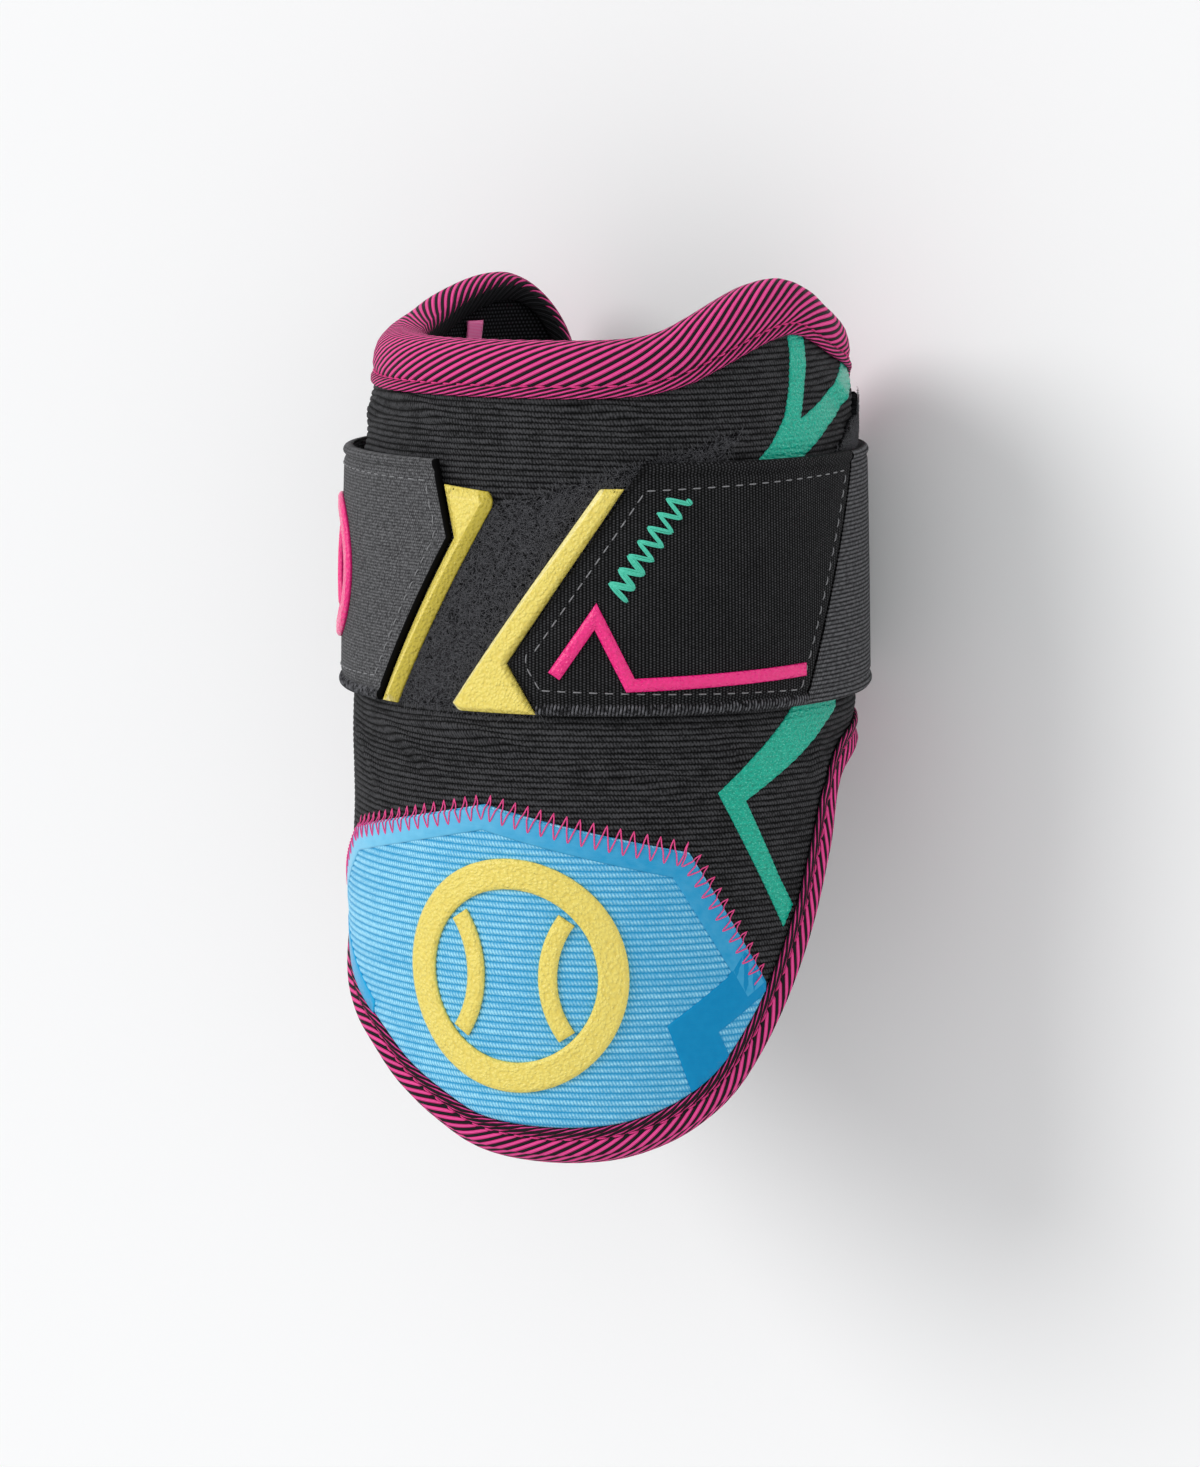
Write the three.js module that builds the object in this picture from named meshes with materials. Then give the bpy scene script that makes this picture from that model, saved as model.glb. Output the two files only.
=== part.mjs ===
// A batter's elbow guard lying on its strap: a padded open sleeve with a lining, a bound edge, a
// sewn elbow patch and an elastic strap whose two ends close over a panel of loop fabric.
// Millimetres. +Y runs up the arm, +Z is the side that faces up as the guard lies, and the open
// side is underneath. A turn is an angle round the arm in degrees, 0 at the top, positive to +X.
import * as THREE from 'three';
import { mergeVertices } from 'three/addons/utils/BufferGeometryUtils.js';
import { TessellateModifier } from 'three/addons/modifiers/TessellateModifier.js';

// Padded sleeve. Heights are measured from the line round the arm where the elbow pad begins.
const HALF_WIDTH = 60;
const HALF_DEPTH = 59;
const RIM_HEIGHT = 92;
const FLAP_PEAK = 13;
const TONGUE_DROP = 94.5;
const FLAP_TURN = 145;
const RIM_CORNER = 26;
const HEM_CORNER = 14;
const SLEEVE_WALL = 6;
const LINING_WALL = 1.2;

// Edge tape, folded over the edge of sleeve and lining.
const TAPE_WALL = 1.2;
const TAPE_TOP_WIDTH = 12;
const TAPE_LOW_WIDTH = 8.5;
const TAPE_INSIDE_WIDTH = 5;
const TAPE_ROUND = 1.4;

// Elbow patch and the ornament moulded on it.
const PATCH_WALL = 1;
const PATCH_APEX = 12.2;
const PATCH_SHOULDER = 22.5;
const BALL_DIAMETER = 54;
const BALL_BAR = 7;
const BALL_TURN = 7;
const BALL_DROP = 51;
const MOULDING_HEIGHT = 1.2;
const MOULDING_BEVEL = 0.6;

// Strap with its two ends, its moulded tabs and the loop fabric below them.
const STRAP_WIDTH = 56.5;
const STRAP_UP = 37.2;
const STRAP_WALL = 1.9;
const TAB_WALL = 2.2;
const TAB_BEVEL = 0.9;
const LOOP_WALL = 1.1;
const LOOP_TOP = 72;
const STRAP_BALL_DIAMETER = 34;
const STRAP_BALL_BAR = 4.5;
const STRAP_BALL_TURN = -60;
const LINE_BAR = 3;
const LABEL_WIDTH = 7;
const LABEL_LENGTH = 20;
const LABEL_WALL = 0.8;
const LABEL_TURN = -110;

// Clearances between pieces that touch on the real guard.
const GAP = 0.35;
const TAPE_GAP = 0.5;

// Half width and half depth of the sleeve up the arm, as shares of the two half sizes. Rows above
// the zero line take their height as a share of RIM_HEIGHT, rows below it of TONGUE_DROP.
const GIRTH = [
  { up: -1.15, girth: 0.93 },
  { up: -0.9, girth: 0.97 },
  { up: -0.5, girth: 1 },
  { up: 0, girth: 0.995 },
  { up: 0.65, girth: 0.975 },
  { up: 0.85, girth: 0.955 },
  { up: 1, girth: 0.92 },
  { up: 1.2, girth: 0.89 },
];

// Rise of the top rim round the arm, as shares of FLAP_PEAK.
const RIM = [
  { turn: -145, rise: 0.78 },
  { turn: -116, rise: 0.84 },
  { turn: -100, rise: 0.58 },
  { turn: -86, rise: 0.25 },
  { turn: -65, rise: 0.05 },
  { turn: -37, rise: 0 },
  { turn: 10, rise: 0 },
  { turn: 32, rise: 0.03 },
  { turn: 42, rise: 0.16 },
  { turn: 50, rise: 0.4 },
  { turn: 61, rise: 0.73 },
  { turn: 70, rise: 0.93 },
  { turn: 79, rise: 1 },
  { turn: 88, rise: 0.87 },
  { turn: 101, rise: 0.5 },
  { turn: 120, rise: 0.2 },
  { turn: 145, rise: 0.1 },
];

// Fall of the lower hem round the arm, as shares of TONGUE_DROP.
const HEM = [
  { turn: -145, drop: 0.05 },
  { turn: -128, drop: 0.08 },
  { turn: -112, drop: 0.15 },
  { turn: -98, drop: 0.27 },
  { turn: -85, drop: 0.42 },
  { turn: -72, drop: 0.56 },
  { turn: -60, drop: 0.67 },
  { turn: -49, drop: 0.735 },
  { turn: -38, drop: 0.79 },
  { turn: -27, drop: 0.865 },
  { turn: -15, drop: 0.93 },
  { turn: -4, drop: 0.98 },
  { turn: 11, drop: 1 },
  { turn: 27, drop: 0.995 },
  { turn: 38, drop: 0.97 },
  { turn: 49, drop: 0.92 },
  { turn: 59, drop: 0.84 },
  { turn: 68, drop: 0.715 },
  { turn: 75, drop: 0.59 },
  { turn: 82, drop: 0.44 },
  { turn: 88, drop: 0.28 },
  { turn: 94, drop: 0.155 },
  { turn: 102, drop: 0.1 },
  { turn: 120, drop: 0.07 },
  { turn: 145, drop: 0.05 },
];

// Free end of each strap end, from the lower edge of the strap (0) to its upper edge (1).
const RIGHT_END = [
  { across: 0, turn: 13.5 },
  { across: 0.2, turn: 6.9 },
  { across: 1, turn: 36 },
];
const RIGHT_SEAM = [
  { across: 0, turn: 75 },
  { across: 1, turn: 97 },
];
const LEFT_END = [
  { across: 0, turn: -30 },
  { across: 0.69, turn: -7.6 },
  { across: 1, turn: -11.8 },
];
const LEFT_SEAM = [
  { across: 0, turn: -92 },
  { across: 1, turn: -84 },
];

// Outer border of each moulded tab. Its inner border follows the strap end that it is sewn to.
const RIGHT_TAB = [
  { across: 0.9, turn: 26.5 },
  { across: 0.03, turn: -6.8 },
  { across: 0, turn: -5.2 },
];
const LEFT_TAB = [
  { across: 0, turn: -24 },
  { across: 0.84, turn: 3 },
  { across: 0.88, turn: 1.4 },
];
const RIGHT_TAB_TOP = 0.9;
const LEFT_TAB_TOP = 0.9;

// Bent line moulded on the right strap end.
const STRAP_LINE = [
  { across: 0.16, turn: 17 },
  { across: 0.4, turn: 25.6 },
  { across: 0.125, turn: 32.8 },
  { across: 0.15, turn: 74.5 },
];

// Panels of loop fabric: heights as shares of LOOP_TOP.
const LOOP_FRONT = [
  { up: 0.13, turn: -28 },
  { up: 0.13, turn: 50 },
  { up: 0.85, turn: 50 },
  { up: 1, turn: 59 },
  { up: 0.64, turn: -28 },
];
const LOOP_SIDE = [
  { up: 0.28, turn: 86 },
  { up: 0.28, turn: 122 },
  { up: 1.08, turn: 119 },
  { up: 0.82, turn: 80 },
];

// Mesh steps.
const SLEEVE_COLUMNS = 36;
const SLEEVE_ROWS = 11;
const LINING_ROWS = 7;
const PATCH_COLUMNS = 26;
const PATCH_ROWS = 6;
const EDGE_STEPS = 4;
const STRAP_ROWS = 6;
const TRIM_STEP = 11;
const TRIM_PASSES = 18;
const CURVE_STEPS = 12;

const loopLift = GAP;
const strapLift = Math.max(GAP + LOOP_WALL, TAPE_GAP + TAPE_WALL) + GAP;
const tabLift = GAP + LOOP_WALL + GAP;
const liningLift = -(SLEEVE_WALL + GAP);
const layersDepth = SLEEVE_WALL + GAP + LINING_WALL;

// Smooth value of a table's column at a place between its rows.
function tableAt(rows, key, value, place) {
  const last = rows.length - 1;
  let row = 0;
  while (row < last - 1 && place > rows[row + 1][key]) {
    row += 1;
  }
  const width = rows[row + 1][key] - rows[row][key];
  const t = THREE.MathUtils.clamp((place - rows[row][key]) / width, 0, 1);
  const slope = (a, b) => ((rows[b][value] - rows[a][value]) / (rows[b][key] - rows[a][key])) * width;
  const start = rows[row][value];
  const end = rows[row + 1][value];
  const inSlope = slope(Math.max(row - 1, 0), row + 1);
  const outSlope = slope(row, Math.min(row + 2, last));
  const t2 = t * t;
  const t3 = t2 * t;
  return start * (2 * t3 - 3 * t2 + 1) + inSlope * (t3 - 2 * t2 + t)
    + end * (3 * t2 - 2 * t3) + outSlope * (t3 - t2);
}

// Straight-line value of a table's column.
function lineAt(rows, key, value, place) {
  const last = rows.length - 1;
  let row = 0;
  while (row < last - 1 && place > rows[row + 1][key]) {
    row += 1;
  }
  const t = (place - rows[row][key]) / (rows[row + 1][key] - rows[row][key]);
  return THREE.MathUtils.lerp(rows[row][value], rows[row + 1][value], THREE.MathUtils.clamp(t, 0, 1));
}

const arcLength = (turn) => THREE.MathUtils.degToRad(turn) * HALF_WIDTH;
const turnOf = (arc) => THREE.MathUtils.radToDeg(arc / HALF_WIDTH);

function girthAt(up) {
  const share = up > 0 ? up / RIM_HEIGHT : up / TONGUE_DROP;
  return tableAt(GIRTH, 'up', 'girth', share);
}

// Point on the sleeve's outer face, or lifted off it.
function onSleeve(turn, up, lift) {
  const angle = THREE.MathUtils.degToRad(turn);
  const girth = girthAt(up);
  return new THREE.Vector3(
    (HALF_WIDTH * girth + lift) * Math.sin(angle),
    up,
    (HALF_DEPTH * girth + lift) * Math.cos(angle),
  );
}

// Fall of a rounded corner of the given size, towards both free ends of the sleeve.
function cornerFall(turn, size) {
  const start = FLAP_TURN - turnOf(size);
  const t = THREE.MathUtils.clamp((Math.abs(turn) - start) / (FLAP_TURN - start), 0, 1);
  return size * (1 - Math.sqrt(1 - t * t));
}

const scaledTurn = (turn) => (turn / FLAP_TURN) * RIM[RIM.length - 1].turn;

function rimAt(turn) {
  const rise = FLAP_PEAK * tableAt(RIM, 'turn', 'rise', scaledTurn(turn));
  return RIM_HEIGHT + rise - cornerFall(turn, RIM_CORNER);
}

function hemAt(turn) {
  const drop = TONGUE_DROP * tableAt(HEM, 'turn', 'drop', scaledTurn(turn));
  return cornerFall(turn, HEM_CORNER) - drop;
}

// Turns of the sleeve's columns, closer together where rim and hem are steep.
function columnTurns(count) {
  const fine = 720;
  const step = (2 * FLAP_TURN) / fine;
  const along = [0];
  for (let i = 0; i < fine; i += 1) {
    const turn = -FLAP_TURN + i * step;
    const rise = Math.abs(rimAt(turn + step) - rimAt(turn));
    const fall = Math.abs(hemAt(turn + step) - hemAt(turn));
    along.push(along[i] + arcLength(step) + 0.5 * rise + 0.6 * fall);
  }
  const turns = [];
  let spot = 0;
  for (let i = 0; i <= count; i += 1) {
    const wanted = (along[fine] * i) / count;
    while (spot < fine - 1 && along[spot + 1] < wanted) {
      spot += 1;
    }
    const part = (wanted - along[spot]) / (along[spot + 1] - along[spot]);
    turns.push(-FLAP_TURN + (spot + THREE.MathUtils.clamp(part, 0, 1)) * step);
  }
  return turns;
}

function meshFrom(name, material, points, faces) {
  const geometry = new THREE.BufferGeometry();
  geometry.setAttribute('position', new THREE.Float32BufferAttribute(points.flatMap((p) => [p.x, p.y, p.z]), 3));
  geometry.setIndex(faces);
  geometry.computeVertexNormals();
  const mesh = new THREE.Mesh(geometry, material);
  mesh.name = name;
  return mesh;
}

// Closed sheet with a face at each of two lifts. place(u, v) gives a turn and a height.
function sheet(name, material, columns, rows, lifts, place, surface) {
  const points = [];
  const index = (side, i, j) => side * (columns + 1) * (rows + 1) + i * (rows + 1) + j;
  for (const lift of lifts) {
    for (let i = 0; i <= columns; i += 1) {
      for (let j = 0; j <= rows; j += 1) {
        const spot = place(i / columns, j / rows);
        points.push(surface(spot.turn, spot.up, lift));
      }
    }
  }
  const faces = [];
  const quad = (a, b, c, d) => faces.push(a, b, c, a, c, d);
  for (let i = 0; i < columns; i += 1) {
    for (let j = 0; j < rows; j += 1) {
      quad(index(0, i, j), index(0, i + 1, j), index(0, i + 1, j + 1), index(0, i, j + 1));
      quad(index(1, i, j), index(1, i, j + 1), index(1, i + 1, j + 1), index(1, i + 1, j));
    }
    quad(index(0, i, 0), index(1, i, 0), index(1, i + 1, 0), index(0, i + 1, 0));
    quad(index(0, i, rows), index(0, i + 1, rows), index(1, i + 1, rows), index(1, i, rows));
  }
  for (let j = 0; j < rows; j += 1) {
    quad(index(0, 0, j), index(0, 0, j + 1), index(1, 0, j + 1), index(1, 0, j));
    quad(index(0, columns, j), index(1, columns, j), index(1, columns, j + 1), index(0, columns, j + 1));
  }
  return meshFrom(name, material, points, faces);
}

// Piece cut from a flat outline of arc lengths and heights, bevelled, and wrapped round the sleeve.
function wrappedPiece(name, material, outline, lift, height, bevel, surface) {
  const flat = new THREE.ExtrudeGeometry(outline, {
    depth: height - bevel,
    curveSegments: CURVE_STEPS,
    bevelEnabled: bevel > 0,
    bevelThickness: bevel / 2,
    bevelSize: bevel,
    bevelOffset: -bevel,
    bevelSegments: 1,
  });
  flat.deleteAttribute('normal');
  flat.deleteAttribute('uv');
  const cut = new TessellateModifier(TRIM_STEP, TRIM_PASSES).modify(flat);
  const welded = mergeVertices(cut, 1e-4);
  const spots = welded.getAttribute('position');
  const points = [];
  for (let i = 0; i < spots.count; i += 1) {
    const rise = lift + bevel / 2 + spots.getZ(i);
    points.push(surface(turnOf(spots.getX(i)), spots.getY(i), rise));
  }
  return meshFrom(name, material, points, Array.from(welded.getIndex().array));
}

const spotsToShape = (spots) => new THREE.Shape(spots.map((s) => new THREE.Vector2(arcLength(s.turn), s.up)));

// Outline of a bar that follows a bent line, with mitred bends.
function barShape(line, width) {
  const left = [];
  const right = [];
  line.forEach((point, i) => {
    const before = line[Math.max(i - 1, 0)];
    const after = line[Math.min(i + 1, line.length - 1)];
    const into = point.clone().sub(before).normalize();
    const out = after.clone().sub(point).normalize();
    const along = (i === 0 ? out : i === line.length - 1 ? into : into.clone().add(out)).normalize();
    const side = new THREE.Vector2(-along.y, along.x);
    const bend = i === 0 || i === line.length - 1 ? 1 : Math.abs(side.dot(new THREE.Vector2(-into.y, into.x)));
    side.multiplyScalar(width / 2 / bend);
    left.push(point.clone().add(side));
    right.unshift(point.clone().sub(side));
  });
  return new THREE.Shape(right.concat(left).reverse());
}

const material = (name, color, roughness) => new THREE.MeshStandardMaterial({ name, color, roughness, metalness: 0 });

const ribbedBlack = material('ribbed_black', 0x1d1d1f, 0.85);
const meshBlack = material('mesh_black', 0x17181a, 0.95);
const stripedTape = material('striped_tape', 0xc9266c, 0.7);
const skyBlue = material('sky_blue', 0x58b4e2, 0.55);
const mouldedYellow = material('moulded_yellow', 0xf2da55, 0.4);
const mouldedPink = material('moulded_pink', 0xf2308a, 0.45);
const loopBlack = material('loop_black', 0x202022, 1);
const elasticBlack = material('elastic_black', 0x19191b, 0.9);
const wovenBlack = material('woven_black', 0x1b1b1d, 0.9);
const satinPink = material('satin_pink', 0xee4f9c, 0.35);

const turns = columnTurns(SLEEVE_COLUMNS);

function sleevePlace(u, v) {
  const turn = turns[Math.round(u * SLEEVE_COLUMNS)];
  return { turn, up: THREE.MathUtils.lerp(hemAt(turn), rimAt(turn), v) };
}

function makeSleeve() {
  return sheet('padded_sleeve', ribbedBlack, SLEEVE_COLUMNS, SLEEVE_ROWS, [0, -SLEEVE_WALL], sleevePlace, onSleeve);
}

function makeLining() {
  const lifts = [liningLift, liningLift - LINING_WALL];
  return sheet('mesh_lining', meshBlack, SLEEVE_COLUMNS, LINING_ROWS, lifts, sleevePlace, onSleeve);
}

// Edge of the sleeve as one closed loop of arc lengths and heights.
function edgeLoop() {
  const loop = turns.map((turn) => new THREE.Vector2(arcLength(turn), rimAt(turn)));
  const side = (turn, from, to) => {
    for (let i = 1; i < EDGE_STEPS; i += 1) {
      loop.push(new THREE.Vector2(arcLength(turn), THREE.MathUtils.lerp(from, to, i / EDGE_STEPS)));
    }
  };
  side(FLAP_TURN, rimAt(FLAP_TURN), hemAt(FLAP_TURN));
  [...turns].reverse().forEach((turn) => loop.push(new THREE.Vector2(arcLength(turn), hemAt(turn))));
  side(-FLAP_TURN, hemAt(-FLAP_TURN), rimAt(-FLAP_TURN));
  return loop;
}

function tapeWidthAt(up) {
  const share = THREE.MathUtils.smoothstep(up, 0, RIM_HEIGHT * 0.7);
  return THREE.MathUtils.lerp(TAPE_LOW_WIDTH, TAPE_TOP_WIDTH, share);
}

// Section of the folded tape: inwards distance from the sleeve's edge, and lift off its outer face.
function tapeSection(width) {
  const outside = TAPE_GAP + TAPE_WALL;
  const inside = -(layersDepth + TAPE_GAP + TAPE_WALL);
  return [
    { inwards: width, lift: outside },
    { inwards: width / 2, lift: outside },
    { inwards: TAPE_ROUND / 2, lift: outside },
    { inwards: -outside, lift: -TAPE_ROUND * 0.3 },
    { inwards: -outside - TAPE_ROUND * 0.7, lift: (outside + inside) / 2 },
    { inwards: -outside, lift: inside + outside + TAPE_ROUND * 0.3 },
    { inwards: TAPE_ROUND / 2, lift: inside },
    { inwards: TAPE_INSIDE_WIDTH, lift: inside },
    { inwards: TAPE_INSIDE_WIDTH, lift: inside + TAPE_WALL },
    { inwards: -TAPE_GAP, lift: inside + TAPE_WALL },
    { inwards: -TAPE_GAP, lift: TAPE_GAP },
    { inwards: width / 2, lift: TAPE_GAP },
    { inwards: width, lift: TAPE_GAP },
  ];
}

function makeEdgeTape() {
  const loop = edgeLoop();
  const points = [];
  const faces = [];
  loop.forEach((spot, i) => {
    const before = loop[(i + loop.length - 1) % loop.length];
    const after = loop[(i + 1) % loop.length];
    const along = after.clone().sub(before).normalize();
    const inwards = new THREE.Vector2(along.y, -along.x);
    for (const corner of tapeSection(tapeWidthAt(spot.y))) {
      const at = spot.clone().addScaledVector(inwards, corner.inwards);
      points.push(onSleeve(turnOf(at.x), at.y, corner.lift));
    }
  });
  const ring = points.length / loop.length;
  for (let i = 0; i < loop.length; i += 1) {
    const next = (i + 1) % loop.length;
    for (let k = 0; k < ring; k += 1) {
      const l = (k + 1) % ring;
      faces.push(i * ring + k, next * ring + l, i * ring + l);
      faces.push(i * ring + k, next * ring + k, next * ring + l);
    }
  }
  return meshFrom('edge_tape', stripedTape, points, faces);
}

// Upper border of the elbow patch: two slopes from its apex, then down to the tape.
function patchTopAt(turn) {
  const border = [
    { turn: -88, up: -PATCH_SHOULDER * 2.5 },
    { turn: -46, up: -PATCH_SHOULDER },
    { turn: 0, up: -PATCH_APEX },
    { turn: 46, up: -PATCH_SHOULDER },
    { turn: 82, up: -PATCH_SHOULDER * 3.6 },
  ];
  return lineAt(border, 'turn', 'up', turn);
}

// Upper border of the tape along the hem, in turns and heights, from left to right.
function tapeBorder() {
  const step = 0.5;
  return turns.map((turn) => {
    const along = new THREE.Vector2(arcLength(2 * step), hemAt(turn + step) - hemAt(turn - step)).normalize();
    const width = tapeWidthAt(hemAt(turn)) + TAPE_GAP;
    return { turn: turn - turnOf(along.y * width), up: hemAt(turn) + along.x * width };
  });
}

// Highest stretch of that border at a turn, plus a clearance.
function patchLowAt(turn) {
  const border = tapeBorder();
  const heights = border.slice(1).map((spot, i) => {
    const t = (turn - border[i].turn) / (spot.turn - border[i].turn);
    return t < 0 || t > 1 ? -Infinity : THREE.MathUtils.lerp(border[i].up, spot.up, t);
  });
  return Math.max(...heights) + TAPE_GAP;
}

function makePatch() {
  const least = 3;
  const reaches = (turn) => patchTopAt(turn) - patchLowAt(turn) > least;
  let left = 0;
  while (reaches(left - 1)) {
    left -= 1;
  }
  let right = 0;
  while (reaches(right + 1)) {
    right += 1;
  }
  const place = (u, v) => {
    const turn = THREE.MathUtils.lerp(left, right, u);
    return { turn, up: THREE.MathUtils.lerp(patchLowAt(turn), patchTopAt(turn), v) };
  };
  return sheet('elbow_patch', skyBlue, PATCH_COLUMNS, PATCH_ROWS, [GAP + PATCH_WALL, GAP], place, onSleeve);
}

// Ring and two seam arcs of a ball, as three mouldings.
function makeBall(name, paint, ball, surface) {
  const radius = ball.diameter / 2;
  const centre = new THREE.Vector2(arcLength(ball.turn), ball.up);
  const ring = new THREE.Shape();
  ring.absarc(centre.x, centre.y, radius, 0, Math.PI * 2, false);
  const hole = new THREE.Path();
  hole.absarc(centre.x, centre.y, radius - ball.bar, 0, Math.PI * 2, true);
  ring.holes.push(hole);
  const pieces = [wrappedPiece(`${name}_ring`, paint, ring, ball.lift, MOULDING_HEIGHT, MOULDING_BEVEL, surface)];
  const seamRadius = radius * 0.86;
  const seamReach = 0.62;
  for (const side of [-1, 1]) {
    const line = [];
    for (let i = 0; i <= 8; i += 1) {
      const angle = seamReach * (i / 4 - 1);
      const x = centre.x + side * (radius * 1.18 - seamRadius * Math.cos(angle));
      line.push(new THREE.Vector2(x, centre.y + seamRadius * Math.sin(angle)));
    }
    const seam = barShape(line, ball.bar * 0.62);
    const piece = side < 0 ? `${name}_seam_left` : `${name}_seam_right`;
    pieces.push(wrappedPiece(piece, paint, seam, ball.lift, MOULDING_HEIGHT, MOULDING_BEVEL, surface));
  }
  return pieces;
}

function makePatchBall() {
  const ball = {
    diameter: BALL_DIAMETER,
    bar: BALL_BAR,
    turn: BALL_TURN,
    up: -BALL_DROP,
    lift: GAP + PATCH_WALL + GAP,
  };
  return makeBall('patch_ball', mouldedYellow, ball, onSleeve);
}

const strapUp = (across) => STRAP_UP + STRAP_WIDTH * (across - 0.5);

// Turn where the strap leaves one flap for the other, just past the tape on the flap's edge.
const strapTurn = FLAP_TURN + turnOf(TAPE_GAP + TAPE_WALL + TAPE_ROUND);

// Point on the strap's inner face, or lifted off it: round the sleeve, then straight between the flaps.
function onStrap(turn, up, lift) {
  const angle = THREE.MathUtils.degToRad(turn);
  const girth = girthAt(up);
  const fullest = Math.max(girthAt(strapUp(0)), girthAt(strapUp(1)));
  const wide = HALF_WIDTH * girth + strapLift + lift;
  const deep = HALF_DEPTH * girth + strapLift + lift;
  const turnedBack = THREE.MathUtils.degToRad(180 - strapTurn);
  const chord = (HALF_DEPTH * fullest + strapLift) * Math.cos(turnedBack) + lift;
  const point = new THREE.Vector3(wide * Math.sin(angle), up, deep * Math.cos(angle));
  if (point.z < -chord) {
    point.x *= -chord / point.z;
    point.z = -chord;
  }
  return point;
}

// Stretch of strap between slanting borders, with a row of points at each bend of a border. Each
// border after the first comes with the number of columns that lead up to it.
function strapStretch(name, paint, first, ...legs) {
  const borders = [first, ...legs.map((leg) => leg.to)];
  const bends = borders.flat().map((row) => row.across);
  const even = Array.from({ length: STRAP_ROWS + 1 }, (_, i) => i / STRAP_ROWS);
  const stops = [...new Set([...bends, ...even])].sort((a, b) => a - b);
  const columns = [];
  legs.forEach((leg, k) => {
    for (let i = k > 0 ? 1 : 0; i <= leg.columns; i += 1) {
      columns.push({ leg: k, part: i / leg.columns });
    }
  });
  const place = (u, v) => {
    const across = stops[Math.round(v * (stops.length - 1))];
    const column = columns[Math.round(u * (columns.length - 1))];
    const from = lineAt(borders[column.leg], 'across', 'turn', across);
    const to = lineAt(borders[column.leg + 1], 'across', 'turn', across);
    return { turn: THREE.MathUtils.lerp(from, to, column.part), up: strapUp(across) };
  };
  return sheet(name, paint, columns.length - 1, stops.length - 1, [STRAP_WALL, 0], place, onStrap);
}

const shifted = (rows, degrees) => rows.map((row) => ({ across: row.across, turn: row.turn + degrees }));

const straight = (turn) => [{ across: 0, turn }, { across: 1, turn }];

function makeStrap() {
  const seam = turnOf(GAP);
  const rightLeg = { to: shifted(RIGHT_SEAM, -seam), columns: 14 };
  const leftLeg = { to: LEFT_END, columns: 14 };
  const elasticLegs = [
    { to: straight(strapTurn), columns: 11 },
    { to: straight(360 - strapTurn), columns: 4 },
    { to: shifted(LEFT_SEAM, 360), columns: 11 },
  ];
  return [
    strapStretch('strap_end_right', wovenBlack, RIGHT_END, rightLeg),
    strapStretch('strap_elastic', elasticBlack, RIGHT_SEAM, ...elasticLegs),
    strapStretch('strap_end_left', wovenBlack, shifted(LEFT_SEAM, seam), leftLeg),
  ];
}

// Tab between the strap end's border and the tab's own outer border.
function tabShape(end, outer, top, side) {
  const inner = [0, ...end.slice(1, -1).map((row) => row.across), top];
  const innerSpots = inner.map((across) => ({
    turn: lineAt(end, 'across', 'turn', across) + side * turnOf(GAP * 2),
    up: strapUp(across),
  }));
  const outerSpots = outer.map((row) => ({ turn: row.turn, up: strapUp(row.across) }));
  return spotsToShape(side < 0 ? [...innerSpots, ...outerSpots] : [...innerSpots.reverse(), ...outerSpots]);
}

const onLoop = (turn, up, lift) => onStrap(turn, up, lift - strapLift);

function makeTabs() {
  const right = tabShape(RIGHT_END, RIGHT_TAB, RIGHT_TAB_TOP, -1);
  const left = tabShape(LEFT_END, LEFT_TAB, LEFT_TAB_TOP, 1);
  return [
    wrappedPiece('tab_right', mouldedYellow, right, tabLift, TAB_WALL, TAB_BEVEL, onLoop),
    wrappedPiece('tab_left', mouldedYellow, left, tabLift, TAB_WALL, TAB_BEVEL, onLoop),
  ];
}

function makeLoopPanels() {
  const outline = (rows) => spotsToShape(rows.map((row) => ({ turn: row.turn, up: row.up * LOOP_TOP })));
  return [
    wrappedPiece('loop_panel', loopBlack, outline(LOOP_FRONT), loopLift, LOOP_WALL, 0, onSleeve),
    wrappedPiece('loop_panel_side', loopBlack, outline(LOOP_SIDE), loopLift, LOOP_WALL, 0, onSleeve),
  ];
}

function makeStrapLine() {
  const line = STRAP_LINE.map((row) => new THREE.Vector2(arcLength(row.turn), strapUp(row.across)));
  const bar = barShape(line, LINE_BAR);
  return wrappedPiece('strap_line', mouldedPink, bar, STRAP_WALL + GAP, MOULDING_HEIGHT, MOULDING_BEVEL, onStrap);
}

function makeStrapBall() {
  const ball = {
    diameter: STRAP_BALL_DIAMETER,
    bar: STRAP_BALL_BAR,
    turn: STRAP_BALL_TURN,
    up: STRAP_UP,
    lift: STRAP_WALL + GAP,
  };
  return makeBall('strap_ball', mouldedPink, ball, onStrap);
}

// Small ribbon label sewn flat on the lining below the rim.
function makeLabel() {
  const half = turnOf(LABEL_WIDTH) / 2;
  const lowest = Math.min(rimAt(LABEL_TURN - half), rimAt(LABEL_TURN + half));
  const top = lowest - TAPE_INSIDE_WIDTH - TAPE_GAP * 2;
  const spots = [
    { turn: LABEL_TURN - half, up: top - LABEL_LENGTH },
    { turn: LABEL_TURN + half, up: top - LABEL_LENGTH },
    { turn: LABEL_TURN + half, up: top },
    { turn: LABEL_TURN - half, up: top },
  ];
  const lift = -(layersDepth + TAPE_GAP + LABEL_WALL);
  return wrappedPiece('lining_label', satinPink, spotsToShape(spots), lift, LABEL_WALL, 0, onSleeve);
}

const guard = new THREE.Group();
guard.add(
  makeSleeve(),
  makeLining(),
  makeEdgeTape(),
  makePatch(),
  ...makePatchBall(),
  ...makeLoopPanels(),
  ...makeStrap(),
  ...makeTabs(),
  makeStrapLine(),
  ...makeStrapBall(),
  makeLabel(),
);

// The guard lies on its strap, centred over the origin.
const box = new THREE.Box3().setFromObject(guard, true);
const middle = box.getCenter(new THREE.Vector3());
guard.position.set(-middle.x, -middle.y, -box.min.z);

export default guard;
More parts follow.
